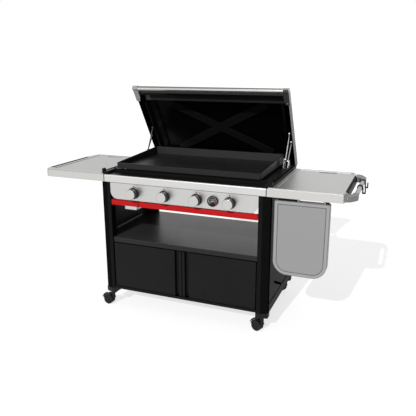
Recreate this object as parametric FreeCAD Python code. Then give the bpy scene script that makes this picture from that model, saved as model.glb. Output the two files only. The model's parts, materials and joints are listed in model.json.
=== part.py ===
import FreeCAD, Part
import math
import os

# Outdoor gas griddle station on a cabinet cart, in millimetres.
# X runs to the right, Y from the front to the rear, Z up, and the wheels stand at height zero.
# The pieces are drawn about the middle of the cart. At the end they are all moved together,
# so that the origin comes under the middle of the whole object. The lid stands open and both
# cabinet doors are shut.

V = FreeCAD.Vector

# Clearances
seat_gap = 0.3            # between pieces that rest on each other
shaft_play = 0.05         # radial play of a turning shaft
sheet = 1.5               # cabinet sheet
deck_sheet = 2.0          # sheet of the worktops, the control panel and the firebox

# Cart
cart_side_room = 76.3     # legs' outer faces outside the griddle plate
cart_depth = 640.0
leg_width = 66.0
leg_depth = 50.0
leg_wall = 2.0
leg_facet_width = 45.0    # outer part of a leg's front, which falls back a little
leg_facet_fall = 16.0
foot_bottom = 103.0       # where the casters begin
foot_height = 32.0
foot_overhang = 3.5
foot_tail_width = 24.0    # tongue of the foot that runs back under the base
foot_tail_length = 30.0
leg_top = 833.0

# Casters
floor_level = 10.0        # height of the floor that the wheels stand on
wheel_radius = 31.75
wheel_width = 15.0
wheel_gap = 9.0           # between the two wheels of a caster
caster_trail = 33.0
caster_turn = -21.0       # degrees, as the casters stand
left_caster_turn = -3.0   # the one in front on the left
stem_radius = 5.5
stem_reach = 26.0         # length of the stem inside its foot
axle_radius = 4.0
hood_thickness = 4.0
hood_gap = 1.2            # between wheel and hood
brake_pin_radius = 2.0
brake_lever_width = 21.0
brake_lever_length = 23.0
wheel_inset_x = 33.5      # from the leg's outer face to the stem
wheel_inset_y = 25.0      # from the cart's front or rear to the stem

# Cabinet
base_bottom = 137.0
base_lip_height = 16.0
shelf_top = 479.5
shelf_setback = 9.0
shelf_lip_height = 29.5
shelf_rear_setback = 8.0
side_sheet_inset = 3.5    # side sheet behind the legs' outer faces
side_rail_top = 178.0
side_rail_bottom = 125.0
side_rail_thickness = 4.5
door_setback = 5.0
door_gap = 0.5            # above the base lip
door_top_gap = 6.0        # below the shelf lip
door_side_gap = 6.5
door_middle_gap = 5.2
door_depth = 20.0
door_bar_width = 15.5
door_recess_width = 28.5
door_recess_depth = 25.0
door_pin_radius = 3.0
door_pin_inset = 6.0      # from the door's outer edge
door_pin_depth = 10.0     # behind the door's face
pin_boss_radius = 6.0
pin_boss_height = 9.0
shelf_flange_depth = 26.0
vent_slot_length = 206.0  # slanted slot in the right side sheet
vent_slot_width = 15.0
vent_slot_tilt = -26.0
vent_slot_y = -67.5
vent_slot_z = 230.0
side_hole_radius = 7.0
side_hole_y = -140.0
side_hole_z = 345.0
towel_bar_radius = 7.0
towel_bar_front = -205.0
towel_bar_rear = 120.0
towel_bar_z = 505.0
towel_bar_standoff = 23.0

# Top frame
rail_height = 38.0
rail_width = 28.0
cross_rail_height = 22.0
cross_rail_width = 18.0
rail_wall = 2.0

# Control panel, with its knobs and thermometer
strip_inset = 4.0         # control strip's ends inside the lid's sides
strip_height = 44.0
fascia_setback = 1.5
fascia_bottom = 731.0
fascia_corner = 45.0
knob_inner_x = 102.0
knob_outer_x = 304.0
knob_z = 778.0
knob_travel = 3.0
knob_skirt_gap = 0.5      # left when the knob is pushed in
knob_skirt_radius = 34.5
knob_skirt_length = 8.0
knob_grip_radius = 30.0
knob_grip_length = 26.0
knob_cap_length = 12.0
knob_cap_wall = 1.0
knob_grooves = 24
knob_groove_radius = 1.3
spindle_radius = 4.0
spindle_flat = 2.6        # from the axis to the flat
spindle_end = 22.0        # knob material in front of the spindle
spindle_hole_play = 1.5
gauge_x = 202.0
gauge_radius = 31.0
gauge_depth = 12.0
gauge_rim = 4.0
gauge_neck_radius = 19.0
gauge_needle_length = 20.0

# Gas parts
manifold_radius = 11.0
manifold_wall = 2.0
manifold_y = -259.0
manifold_z = 748.0
manifold_overhang = 116.0
manifold_arm_x = 203.0
inlet_radius = 9.0
inlet_bore = 5.0
inlet_length = 26.0
inlet_nut = 22.0
valve_width = 26.0
valve_depth = 32.0
valve_boss_radius = 9.0
valve_boss_length = 15.0
nozzle_radius = 6.0
nozzle_length = 15.0
burner_radius = 12.0
burner_wall = 1.2
burner_z = 798.0
burner_ports = 19
burner_port_pitch = 22.0
burner_port_length = 8.0
burner_pin_radius = 3.0
electrode_radius = 2.5
electrode_length = 46.0

# Firebox and griddle plate
firebox_front_inset = 22.0
firebox_front = -225.0
firebox_rear = 269.5
firebox_bottom = 772.0
firebox_top = 899.0
firebox_side_room = 16.8  # firebox sides outside the griddle plate
channel_top = 893.0
ledge_width = 44.0
ledge_top = 891.0
baffle_height = 6.0
chute_inset = 33.0        # chute's middle inside the tray's left end
chute_y = 245.0
chute_radius = 17.0
plate_width = 914.4
plate_depth = 533.4
plate_front = -251.5
plate_bottom = 908.0
plate_floor = 6.0
plate_wall = 5.0
plate_corner = 10.0
plate_front_top = 941.0
plate_rear_top = 965.0
plate_foot_radius = 7.0
drain_radius = 13.0

# Grease tray
tray_side_gap = 4.5       # beside the left leg
tray_width = 185.0        # to the joint between the tray's front and the red rail
red_bottom = 693.5
red_top = 725.0
red_depth = 20.0
red_gap = 4.0
tray_front_depth = 15.0
tray_wall_inset = 8.0
tray_flange = 5.0
tray_floor_z = 699.0
tray_length = 600.0
liner_inset = 49.0        # liner's side inside the tray's left end
liner_width = 92.0
liner_front = -265.0
liner_depth = 92.0
liner_bottom = 656.0
liner_wall = 0.8
liner_rim = 6.0
runner_ledge = 7.0

# Side channels and lid link brackets
channel_inner_reach = 16.0  # from the lid's side inwards
channel_outer_reach = 24.0
channel_front = -296.0
channel_rear = 312.0
channel_slot_offset = 8.0 # outside the lid's side
channel_slot_width = 12.0
channel_slot_depth = 12.0
channel_post_gap = 2.5    # raised front end, outside the lid's bracket
channel_post_length = 24.0
channel_post_height = 15.0
bumper_radius = 6.0
bumper_height = 6.2
bumper_setback = 106.0    # from the channel's front end
link_plate = 3.0
link_base_front = 170.0
link_base_rear = 262.0

# Side tables
table_crown = 5.0
table_shoulder = 12.0
table_depth = 588.0
table_corner_run = 120.0  # rear corner of the left table
table_corner_cut = 30.0
right_corner_run = 80.0
left_table_reach = 425.5  # from the legs' outer faces
right_table_reach = 396.5
table_front_reach = 384.5
table_panel_drop = 3.0
table_panel_inset = 27.0
table_panel_offset = 26.5
table_slot_length = 108.0
table_slot_offset = 220.5
table_slot_y = 212.0
table_slot_width = 28.0
table_seam = 5.0          # between the control strip and each table
end_slot_inset = 28.0     # middle of the groove, from the left table's end
end_slot_width = 20.0
end_slot_depth = 5.5
end_slot_front = -270.0
end_slot_rear = 130.0

# Right handle and hook clips
handle_reach = 39.0       # bar's middle past the right table's end
handle_rise = 24.0        # bar's middle above the legs
handle_radius = 12.5
handle_front = -235.0
handle_rear = 160.0
handle_bracket_half = 15.0
handle_pocket = 6.0       # depth of the bar's ends in the brackets
front_lap = 20.0          # bracket material past the middle of the bar's front end
rear_lap = 12.0
screw_offset = 18.0       # recess of the screw in the front bracket's face
screw_radius = 5.0
screw_depth = 3.0
bar_wall = 1.6            # wall of the two round handle bars
clip_y = [-20.0, 130.0]
clip_width = 18.0
clip_wall = 4.0
clip_play = 0.3
clip_hook_reach = 2.0      # shank's outer face past the ring
clip_hook_drop = 34.0
clip_hook_bar = 6.5       # thickness of the hook
clip_hook_mouth = 7.0
clip_hook_lip = 32.0
clip_hook_inset = 2.0     # hook narrower than the ring, on each side

# Prep board
board_side_gap = 23.5     # from the legs' outer face
board_width = 296.0
board_top = 818.0
board_bottom = 397.0
board_depth = 40.0
board_setback = 2.0
board_corner = 80.0
board_rim = 18.0
board_groove = 3.0
board_axis_setback = 9.0
board_axis_z = 825.0
board_rod_radius = 3.0
board_eye_radius = 6.0
board_eye_width = 10.0
board_pin_end = 3.0       # pin past the eye
board_hanger_start = 18.0
board_hanger_length = 105.0
board_end_hanger = 18.0   # length of the hanger at the outer end
board_end_margin = 5.0
board_hanger_rise = 32.0

# Lid, in its own plane: s runs from the front edge to the rear, w out of the opening
lid_side_room = 53.8      # lid's sides outside the griddle plate
lid_length = 600.0
lid_wall_height = 60.0
lid_height = 97.0
lid_shoulder_run = 71.0
lid_top_front = 72.0
lid_top_rear = 530.0
lid_sheet = 2.0
lid_corner = 16.0
lid_lip = 18.0
lid_front_y = 103.0       # front edge with the lid open
lid_front_z = 1343.0
lid_open_angle = 58.0
liner_side_inset = 35.0
liner_side_w = 22.0
liner_front_w = 45.3
liner_ramp = [(2.3, 48.0), (15.0, 53.0), (32.0, 54.8), (46.0, 53.6), (62.0, 51.0), (78.0, 47.4)]
liner_front_s = 88.0
liner_rear_s = 590.0
liner_shoulder_w = 68.0
liner_sheet = 1.5
liner_taper = 8.0         # draw of the steep walls
liner_slope = 27.0        # run of the slope behind the front shelf
liner_corner = 18.0
rib_width = 60.0
rib_height = 12.0
rib_draft = 3.5           # slope of the ribs' sides
rib_front_s = 128.0
rib_rear_s = 528.0
rib_half_span = 345.0
lid_bar_radius = 13.5
lid_bar_s = -30.0
lid_bar_w = 7.0
lid_bracket_width = 34.5
lid_bracket_overhang = 8.0
lid_bracket_front = -46.0
lid_bracket_rear = 65.0
lid_plate_notch_inset = 20.0  # the face plate stays outside the firebox front behind this
lid_plate_notch_s = 44.0
lid_plate = 3.7           # thickness of the face plate over the rim

# Lid links: pivots on the cart (y, z) and on the lid (s, w)
front_pivot = (206.1, 944.2)
rear_pivot = (222.1, 931.9)
front_lid_pivot = (308.2, 28.6)
rear_lid_pivot = (363.0, 10.8)
link_thickness = 7.0
link_eye_radius = 9.5
link_rod_radius = 3.3
front_link_inset = 24.0
rear_link_inset = 13.0
link_pin_radius = 4.0
open_pin_radius = 3.0
open_pin_play = 2.9       # lets the fourth pivot follow its true path

os.makedirs("parts", exist_ok=True)

# Sizes that follow from the ones above
plate_half = plate_width / 2.0
cart_width = plate_width + 2.0 * cart_side_room
leg_outer = cart_width / 2.0
leg_inner = leg_outer - leg_width
front_y = -cart_depth / 2.0
rear_y = cart_depth / 2.0
leg_bottom = foot_bottom + foot_height
strip_bottom = leg_top
strip_top = strip_bottom + strip_height
side_sheet_x = leg_outer - side_sheet_inset
side_inner_x = side_sheet_x - sheet
leg_back = front_y + leg_depth
tray_left = leg_inner - tray_side_gap
tray_split = tray_left - tray_width
chute_x = -(tray_left - chute_inset)
liner_x0 = -(tray_left - liner_inset)
liner_x1 = liner_x0 + liner_width
lid_half_width = plate_half + lid_side_room
lid_top_half_width = lid_half_width - lid_shoulder_run
liner_half_width = lid_half_width - liner_side_inset
lid_bracket_outer = lid_half_width + lid_bracket_overhang
lid_bracket_inner = lid_bracket_outer - lid_bracket_width
lid_plate_notch_x = lid_half_width - lid_plate_notch_inset
front_link_x = lid_half_width - front_link_inset
rear_link_x = lid_half_width - rear_link_inset
channel_x0 = lid_half_width - channel_inner_reach
channel_x1 = lid_half_width + channel_outer_reach
channel_slot_x0 = lid_half_width + channel_slot_offset
channel_slot_x1 = channel_slot_x0 + channel_slot_width
channel_post_x0 = lid_bracket_outer + channel_post_gap
strip_half = lid_half_width - strip_inset
firebox_side_x = plate_half + firebox_side_room
firebox_front_half = lid_half_width - firebox_front_inset
knob_x = [-knob_outer_x, -knob_inner_x, knob_inner_x, knob_outer_x]
table_edge_z = strip_top
table_top_z = table_edge_z + table_crown
left_table_end = leg_outer + left_table_reach
right_table_end = leg_outer + right_table_reach
table_front_end = leg_outer + table_front_reach
table_panel_inner = leg_outer + table_panel_offset
table_slot_x = leg_outer + table_slot_offset
end_slot_x = left_table_end - end_slot_inset
handle_x = right_table_end + handle_reach
handle_z = leg_top + handle_rise
screw_x = table_front_end + screw_offset
board_x0 = leg_outer + board_side_gap
board_x1 = board_x0 + board_width


finished = []


def save(name, *shapes):
    """Keep a finished piece under its name, until all pieces are written at the end."""
    solids = []
    for shape in shapes:
        solids.extend(shape.Solids)
    finished.append((name, solids))


def block(x0, x1, y0, y1, z0, z1):
    return Part.makeBox(x1 - x0, y1 - y0, z1 - z0, V(x0, y0, z0))


def rod(start, end, radius):
    axis = V(*end) - V(*start)
    return Part.makeCylinder(radius, axis.Length, V(*start), axis)


def join(*shapes):
    result = shapes[0]
    if len(shapes) > 1:
        result = result.fuse(list(shapes[1:]))
    return result.removeSplitter()


def cut(shape, *tools):
    return shape.cut(list(tools))


def mirror_x(shape):
    return shape.mirror(V(0, 0, 0), V(1, 0, 0))


def mirror_y(shape):
    return shape.mirror(V(0, 0, 0), V(0, 1, 0))


def outline(axis, offset, points, radii=0.0):
    """Closed outline in the plane across an axis. Its corners are rounded by tangent arcs."""
    if not isinstance(radii, (list, tuple)):
        radii = [radii] * len(points)

    def place(p):
        if axis == "x":
            return V(offset, p.x, p.y)
        if axis == "y":
            return V(p.x, offset, p.y)
        return V(p.x, p.y, offset)

    corners = []
    count = len(points)
    for i in range(count):
        corner = V(points[i][0], points[i][1], 0)
        before = V(points[i - 1][0], points[i - 1][1], 0) - corner
        after = V(points[(i + 1) % count][0], points[(i + 1) % count][1], 0) - corner
        if radii[i] <= 0:
            corners.append((corner, None, corner))
            continue
        before.normalize()
        after.normalize()
        half = before.getAngle(after) / 2.0
        reach = radii[i] / math.tan(half)
        middle = before + after
        middle.normalize()
        deep = radii[i] / math.sin(half) - radii[i]
        corners.append((corner + before * reach, corner + middle * deep, corner + after * reach))
    edges = []
    for i in range(count):
        start, mid, end = corners[i]
        if mid is not None:
            edges.append(Part.Arc(place(start), place(mid), place(end)).toShape())
        following = corners[(i + 1) % count][0]
        if (following - end).Length > 1e-6:
            edges.append(Part.makeLine(place(end), place(following)))
    return Part.Wire(edges)


def prism(axis, low, high, points, radii=0.0):
    """Solid between two planes across an axis, with a rounded outline."""
    direction = {"x": V(1, 0, 0), "y": V(0, 1, 0), "z": V(0, 0, 1)}[axis]
    face = Part.Face(outline(axis, low, points, radii))
    return face.extrude(direction * (high - low))


def rectangle(a0, a1, b0, b1):
    return [(a0, b0), (a1, b0), (a1, b1), (a0, b1)]


def tube(x0, x1, y0, y1, z0, z1, wall, along):
    """Rectangular tube with open ends along one axis."""
    outer = block(x0, x1, y0, y1, z0, z1)
    if along == "x":
        inner = block(x0 - 1, x1 + 1, y0 + wall, y1 - wall, z0 + wall, z1 - wall)
    else:
        inner = block(x0 + wall, x1 - wall, y0 - 1, y1 + 1, z0 + wall, z1 - wall)
    return outer.cut(inner)


# Legs: a closed tube each, with a shallow outer facet on its end face
leg_profile = [
    (leg_inner, front_y),
    (leg_outer - leg_facet_width, front_y),
    (leg_outer, front_y + leg_facet_fall),
    (leg_outer, leg_back),
    (leg_inner, leg_back),
]
leg_face = Part.Face(outline("z", leg_bottom, leg_profile, [3, 0, 3, 3, 3]))
leg_core = leg_face.makeOffset2D(-leg_wall)
leg = leg_face.extrude(V(0, 0, leg_top - leg_bottom)).cut(leg_core.extrude(V(0, 0, leg_top - leg_bottom)))
save("legs", leg, mirror_x(leg), mirror_y(leg), mirror_x(mirror_y(leg)))

# Feet: a block under each leg with the caster's socket, and a tongue that runs back under the base
stem_x = leg_outer - wheel_inset_x
stem_y = front_y + wheel_inset_y
foot_face = Part.Face(outline("z", foot_bottom, leg_profile, [3, 0, 3, 3, 3])).makeOffset2D(foot_overhang)
foot = foot_face.extrude(V(0, 0, foot_height))
foot = foot.makeFillet(5.0, [e for e in foot.Edges if e.BoundBox.ZMax < foot_bottom + 0.01])
foot_tail = block(
    leg_inner - foot_overhang, leg_inner - foot_overhang + foot_tail_width,
    leg_back - 5.0, leg_back + foot_overhang + foot_tail_length, foot_bottom + 1.0, leg_bottom)
socket = rod((stem_x, stem_y, foot_bottom - 1), (stem_x, stem_y, foot_bottom + stem_reach + 2), stem_radius + shaft_play)
foot = cut(join(foot, foot_tail), socket)
save("leg_feet", foot, mirror_x(foot), mirror_y(foot), mirror_x(mirror_y(foot)))

# Casters: fork with stem and hood, twin wheels on their axle, brake lever on the front pair
wheel_inner = wheel_gap / 2.0
wheel_outer = wheel_inner + wheel_width
hood_half = wheel_outer + 1.5
hood_inner = wheel_radius + hood_gap
hood_outer = hood_inner + hood_thickness
hub = V(-caster_trail, 0, floor_level + wheel_radius)


def across(x, z, half, radius):
    return rod((x, -half, z), (x, half, z), radius)


hood = across(hub.x, hub.z, hood_half, hood_outer)
hood = cut(hood, block(hub.x - 60, hub.x + 60, -60, 60, -60, hub.z + 8.0))
boss_top = foot_bottom - seat_gap
boss = rod((0, 0, hub.z + 16.0), (0, 0, boss_top), 2.0 * stem_radius)
stem = rod((0, 0, boss_top - 5.0), (0, 0, foot_bottom + stem_reach), stem_radius)
wheel_space = across(hub.x, hub.z, hood_half + 20.0, hood_inner)
centre_web = across(hub.x, hub.z, wheel_inner - 0.8, wheel_radius - 4.0)
web_neck = block(hub.x, 0, -wheel_inner + 0.8, wheel_inner - 0.8, hub.z, hub.z + hood_outer)
web_neck = web_neck.common(across(hub.x, hub.z, 10.0, hood_inner + 1.0))
axle_bore = across(hub.x, hub.z, 40.0, axle_radius + shaft_play)
brake_angle = math.radians(140.0)
brake_reach = hood_outer + 6.0
brake_x = hub.x + brake_reach * math.cos(brake_angle)
brake_z = hub.z + brake_reach * math.sin(brake_angle)
lever_half = brake_lever_width / 2.0
ear_outline = [
    (brake_x - 4.5, brake_z - 4.5),
    (hub.x - 0.61 * hood_outer, hub.z + 0.65 * hood_outer),
    (hub.x - 0.51 * hood_outer, hub.z + 0.84 * hood_outer),
    (brake_x + 1.0, brake_z + 5.0),
]
ear = prism("y", lever_half + seat_gap, lever_half + 4.0, ear_outline)
brake_pin = across(brake_x, brake_z, lever_half + 4.0, brake_pin_radius)
lever = join(
    across(brake_x, brake_z, lever_half, 4.2),
    prism("y", -lever_half, lever_half, [
        (brake_x - 2.0, brake_z + 3.5),
        (brake_x - brake_lever_length * 0.72, brake_z - brake_lever_length * 0.62),
        (brake_x - brake_lever_length * 0.66, brake_z - brake_lever_length * 0.82),
        (brake_x - 3.4, brake_z - 2.0),
    ]),
)
lever = lever.cut(across(brake_x, brake_z, 40.0, brake_pin_radius + shaft_play))


def standing(shape, x, y, turn):
    """A caster piece turned and set under its foot."""
    result = shape.copy()
    result.rotate(V(0, 0, 0), V(0, 0, 1), turn)
    result.translate(V(x, y, 0))
    return result


fork_plain = join(cut(join(hood, boss), wheel_space), centre_web, web_neck, stem)
fork_plain = cut(fork_plain, axle_bore)
fork_braked = join(fork_plain, ear, mirror_y(ear), brake_pin)
wheel = rod((hub.x, wheel_inner, hub.z), (hub.x, wheel_outer, hub.z), wheel_radius)
wheel = wheel.makeFillet(2.5, [e for e in wheel.Edges if abs(e.Length - 2 * math.pi * wheel_radius) < 0.1])
wheel = cut(wheel, rod((hub.x, wheel_outer - 2.5, hub.z), (hub.x, wheel_outer + 1, hub.z), wheel_radius - 10.0))
wheel = cut(wheel, across(hub.x, hub.z, 40.0, axle_radius))
axle = across(hub.x, hub.z, wheel_outer - 1.0, axle_radius)
caster_places = [
    ("front_left", -stem_x, stem_y, left_caster_turn),
    ("front_right", stem_x, stem_y, caster_turn),
    ("rear_left", -stem_x, -stem_y, caster_turn),
    ("rear_right", stem_x, -stem_y, caster_turn),
]
for place, x, y, turn in caster_places:
    braked = y < 0
    fork = fork_braked if braked else fork_plain
    save("caster_fork_" + place, standing(fork, x, y, turn))
    save(
        "caster_wheels_" + place,
        standing(wheel, x, y, turn), standing(mirror_y(wheel), x, y, turn), standing(axle, x, y, turn),
    )
    if braked:
        save("brake_lever_" + place, standing(lever, x, y, turn))

# Side sheets with a folded rail along the bottom. The right one has a slanted vent slot.
side_front = leg_back + seat_gap
side_rear = -side_front
side_top = leg_top - 1.0
side_sheet = join(
    block(side_inner_x, side_sheet_x, side_front, side_rear, side_rail_bottom, side_top),
    block(side_inner_x, side_inner_x + side_rail_thickness, side_front, side_rear, side_rail_bottom, side_rail_top),
)
foot_end = leg_back + foot_overhang + seat_gap
foot_notch = block(leg_inner, leg_outer + 10, side_front - 1, foot_end, foot_bottom, leg_bottom + seat_gap)
side_sheet = cut(side_sheet, foot_notch, mirror_y(foot_notch))
slot_half = vent_slot_length / 2.0 - vent_slot_width / 2.0
tilt = math.radians(vent_slot_tilt)
slot_a = (vent_slot_y - slot_half * math.cos(tilt), vent_slot_z - slot_half * math.sin(tilt))
slot_b = (vent_slot_y + slot_half * math.cos(tilt), vent_slot_z + slot_half * math.sin(tilt))
slot_r = vent_slot_width / 2.0
nx = -math.sin(tilt) * slot_r
nz = math.cos(tilt) * slot_r
vent_slot = join(
    prism("x", leg_inner, leg_outer + 10.0, [
        (slot_a[0] + nx, slot_a[1] + nz),
        (slot_b[0] + nx, slot_b[1] + nz),
        (slot_b[0] - nx, slot_b[1] - nz),
        (slot_a[0] - nx, slot_a[1] - nz),
    ]),
    rod((leg_inner, slot_a[0], slot_a[1]), (leg_outer + 10.0, slot_a[0], slot_a[1]), slot_r),
    rod((leg_inner, slot_b[0], slot_b[1]), (leg_outer + 10.0, slot_b[0], slot_b[1]), slot_r),
)
side_hole = rod((leg_inner, side_hole_y, side_hole_z), (leg_outer, side_hole_y, side_hole_z), side_hole_radius)
save("side_panel_right", cut(side_sheet, vent_slot, side_hole))

# Towel bar on two posts, inside the left side sheet
bar_x = -(side_inner_x - towel_bar_standoff)
towel_bar = join(
    rod((bar_x, towel_bar_front, towel_bar_z), (bar_x, towel_bar_rear, towel_bar_z), towel_bar_radius),
    rod((bar_x, towel_bar_front + 12, towel_bar_z), (-side_inner_x, towel_bar_front + 12, towel_bar_z), 5.0),
    rod((bar_x, towel_bar_rear - 12, towel_bar_z), (-side_inner_x, towel_bar_rear - 12, towel_bar_z), 5.0),
)
save("side_panel_left", mirror_x(side_sheet), towel_bar)


def deck(z0, z1, front, rear, half_end, half_middle):
    """Level sheet that fills the space between the legs and reaches out to the side sheets."""
    step_front = leg_back + seat_gap
    step_rear = -step_front
    return prism("z", z0, z1, [
        (-half_end, front), (half_end, front),
        (half_end, step_front), (half_middle, step_front),
        (half_middle, step_rear), (half_end, step_rear),
        (half_end, rear), (-half_end, rear),
        (-half_end, step_rear), (-half_middle, step_rear),
        (-half_middle, step_front), (-half_end, step_front),
    ])


# Cabinet base: floor, lips all round and the back, folded from one sheet
deck_half = leg_inner - seat_gap
deck_middle = side_inner_x - seat_gap
shelf_front = front_y + shelf_setback
shelf_rear = rear_y - shelf_rear_setback
shelf_bottom = shelf_top - sheet
lip_bottom = shelf_top - shelf_lip_height
base_top = base_bottom + base_lip_height
back_y = shelf_rear - 12.0
pin_x = leg_inner - door_side_gap - door_pin_inset
pin_y = front_y + door_setback + door_pin_depth
pin_hole_radius = door_pin_radius + shaft_play
door_bottom = base_top + door_gap
door_top = lip_bottom - door_top_gap
base_boss_top = door_bottom - seat_gap - 2.0
base = join(
    deck(base_bottom, base_bottom + sheet, front_y, rear_y, deck_half, deck_middle),
    block(-deck_half, deck_half, front_y, front_y + sheet, base_bottom, base_top),
    block(-deck_half, deck_half, rear_y - sheet, rear_y, base_bottom, base_top),
    block(-deck_half, deck_half, back_y - sheet, back_y, base_bottom, shelf_bottom - seat_gap),
    block(-deck_half, deck_half, back_y - 15.0, back_y, shelf_bottom - seat_gap - sheet, shelf_bottom - seat_gap),
    rod((pin_x, pin_y, base_bottom), (pin_x, pin_y, base_boss_top), pin_boss_radius),
    rod((-pin_x, pin_y, base_bottom), (-pin_x, pin_y, base_boss_top), pin_boss_radius),
)
base = cut(
    base,
    rod((pin_x, pin_y, base_bottom - 1), (pin_x, pin_y, base_top), pin_hole_radius),
    rod((-pin_x, pin_y, base_bottom - 1), (-pin_x, pin_y, base_top), pin_hole_radius),
)
save("cabinet_base", base)

# Middle shelf: a deck with a deep front lip, whose return flange carries the upper door pins
flange_rear = shelf_front + shelf_flange_depth
shelf = join(
    deck(shelf_bottom, shelf_top, shelf_front, shelf_rear, deck_half, deck_middle),
    block(-deck_half, deck_half, shelf_front, shelf_front + sheet, lip_bottom, shelf_top),
    block(-deck_half, deck_half, shelf_front, flange_rear, lip_bottom, lip_bottom + sheet),
    block(-deck_half, deck_half, shelf_rear - sheet, shelf_rear, lip_bottom + 10.0, shelf_top),
    rod((pin_x, pin_y, lip_bottom), (pin_x, pin_y, lip_bottom + pin_boss_height), pin_boss_radius),
    rod((-pin_x, pin_y, lip_bottom), (-pin_x, pin_y, lip_bottom + pin_boss_height), pin_boss_radius),
)
shelf = cut(
    shelf,
    rod((pin_x, pin_y, lip_bottom - 1), (pin_x, pin_y, lip_bottom + 20), pin_hole_radius),
    rod((-pin_x, pin_y, lip_bottom - 1), (-pin_x, pin_y, lip_bottom + 20), pin_hole_radius),
)
save("middle_shelf", shelf)

# Doors: sheet panel with folded edges, a deep recess and a square bar at the inner edge
door_front = front_y + door_setback
door_outer = leg_inner - door_side_gap
door_inner = door_middle_gap / 2.0
bar_edge = door_inner + door_bar_width
recess_edge = bar_edge + door_recess_width
recess_back = door_front + door_recess_depth
door_back = door_front + door_depth
door = join(
    block(recess_edge, door_outer, door_front, door_front + sheet, door_bottom, door_top),
    block(door_outer - sheet, door_outer, door_front, door_back - 5.0, door_bottom, door_top),
    block(recess_edge, door_outer, door_front, door_back - 5.0, door_bottom, door_bottom + sheet),
    block(recess_edge, door_outer, door_front, door_back - 5.0, door_top - sheet, door_top),
    block(recess_edge, recess_edge + sheet, door_front, recess_back, door_bottom, door_top),
    block(door_inner, recess_edge + sheet, recess_back - sheet, recess_back, door_bottom, door_top),
    block(door_inner, bar_edge, door_front, recess_back, door_bottom, door_top),
    block(pin_x - 6.0, door_outer, door_front, pin_y + 4.5, door_top - 22.0, door_top),
    block(pin_x - 6.0, door_outer, door_front, pin_y + 4.5, door_bottom, door_bottom + 22.0),
    rod((pin_x, pin_y, door_top - 10), (pin_x, pin_y, lip_bottom + pin_boss_height - 1.0), door_pin_radius),
    rod((pin_x, pin_y, door_bottom + 10), (pin_x, pin_y, base_bottom + 0.5), door_pin_radius),
)
door = cut(door, block(door_inner + 2, bar_edge - 2, door_front + 2, recess_back - 2, door_bottom - 1, door_top + 1))
save("door_right", door)
save("door_left", mirror_x(door))

# Top frame: side rails between the legs, cross rails at the front and the rear
side_rail_x1 = side_inner_x - seat_gap
side_rail_x0 = side_rail_x1 - rail_width
rail_top = leg_top - seat_gap
side_rail = tube(
    side_rail_x0, side_rail_x1, leg_back + seat_gap, -leg_back - seat_gap,
    rail_top - rail_height, rail_top, rail_wall, "y",
)
fascia_front = front_y + fascia_setback
fascia_back = fascia_front + deck_sheet
cross_top = leg_top - 1.0
cross_front = fascia_back + seat_gap
front_rail = tube(
    -deck_half, deck_half, cross_front, cross_front + cross_rail_width,
    cross_top - cross_rail_height, cross_top, rail_wall, "x",
)
rear_rail = mirror_y(front_rail)
save("top_frame", side_rail, mirror_x(side_rail), front_rail, rear_rail)

# Control panel: a strip folded over the front edge, with the fascia below it
strip_profile = [
    (front_y, strip_bottom),
    (front_y, strip_top),
    (firebox_front - seat_gap, strip_top),
    (firebox_front - seat_gap, strip_top - deck_sheet),
    (front_y + deck_sheet, strip_top - deck_sheet),
    (front_y + deck_sheet, strip_bottom),
]
strip = prism("x", -strip_half, strip_half, strip_profile, [0, 6.0, 0, 0, 4.0, 0])
for side in (-1, 1):
    x0 = min(side * (channel_x0 - seat_gap), side * (strip_half + 5))
    x1 = max(side * (channel_x0 - seat_gap), side * (strip_half + 5))
    strip = strip.cut(block(x0, x1, channel_front - seat_gap, firebox_front + 1, strip_bottom, strip_top + 1))
fascia_half = leg_inner - 0.1
fascia = prism("y", fascia_front, fascia_back, [
    (-fascia_half, fascia_bottom), (fascia_half, fascia_bottom),
    (fascia_half, strip_bottom + 7.0), (-fascia_half, strip_bottom + 7.0),
], [fascia_corner, fascia_corner, 0, 0])
panel = join(strip, fascia)
spindle_hole = spindle_radius + spindle_hole_play
panel_holes = [
    rod((x, front_y - 1, knob_z), (x, fascia_back + 1, knob_z), spindle_hole) for x in knob_x
]
panel_holes.append(rod((gauge_x, front_y - 1, knob_z), (gauge_x, fascia_back + 1, knob_z), gauge_neck_radius + 0.5))
save("control_panel", cut(panel, *panel_holes))

# Thermometer: case with its neck through the fascia, dial plate, and the needle on the dial
gauge_back = fascia_front - 0.2
gauge_front = gauge_back - gauge_depth
gauge_case = join(
    rod((gauge_x, gauge_front, knob_z), (gauge_x, gauge_back, knob_z), gauge_radius),
    rod((gauge_x, gauge_back - 1, knob_z), (gauge_x, fascia_back + 14.0, knob_z), gauge_neck_radius),
)
dial_radius = gauge_radius - gauge_rim
dial_front = gauge_front + 6.0
gauge_case = cut(gauge_case, rod((gauge_x, gauge_front - 1, knob_z), (gauge_x, dial_front + 1.0, knob_z), dial_radius))
dial_pin_radius = 1.5
dial_plate = cut(
    rod((gauge_x, dial_front, knob_z), (gauge_x, dial_front + 1.0, knob_z), dial_radius),
    rod((gauge_x, dial_front - 1, knob_z), (gauge_x, dial_front + 2.0, knob_z), dial_pin_radius + shaft_play),
)
gauge_case = cut(
    gauge_case,
    rod((gauge_x, dial_front, knob_z), (gauge_x, dial_front + 9.0, knob_z), dial_pin_radius + shaft_play),
)
save("thermometer_case", gauge_case, dial_plate)
needle_front = dial_front - 2.2
needle = join(
    rod((gauge_x, needle_front, knob_z), (gauge_x, dial_front - 0.8, knob_z), 3.2),
    rod((gauge_x, needle_front, knob_z), (gauge_x, dial_front + 8.0, knob_z), dial_pin_radius),
    prism("y", needle_front + 0.2, dial_front - 1.0, [
        (gauge_x - 1.6, knob_z), (gauge_x + 1.6, knob_z),
        (gauge_x + 0.5, knob_z + gauge_needle_length), (gauge_x - 0.5, knob_z + gauge_needle_length),
    ]),
)
needle.rotate(V(gauge_x, 0, knob_z), V(0, -1, 0), 132.0)
save("thermometer_needle", needle)

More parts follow.
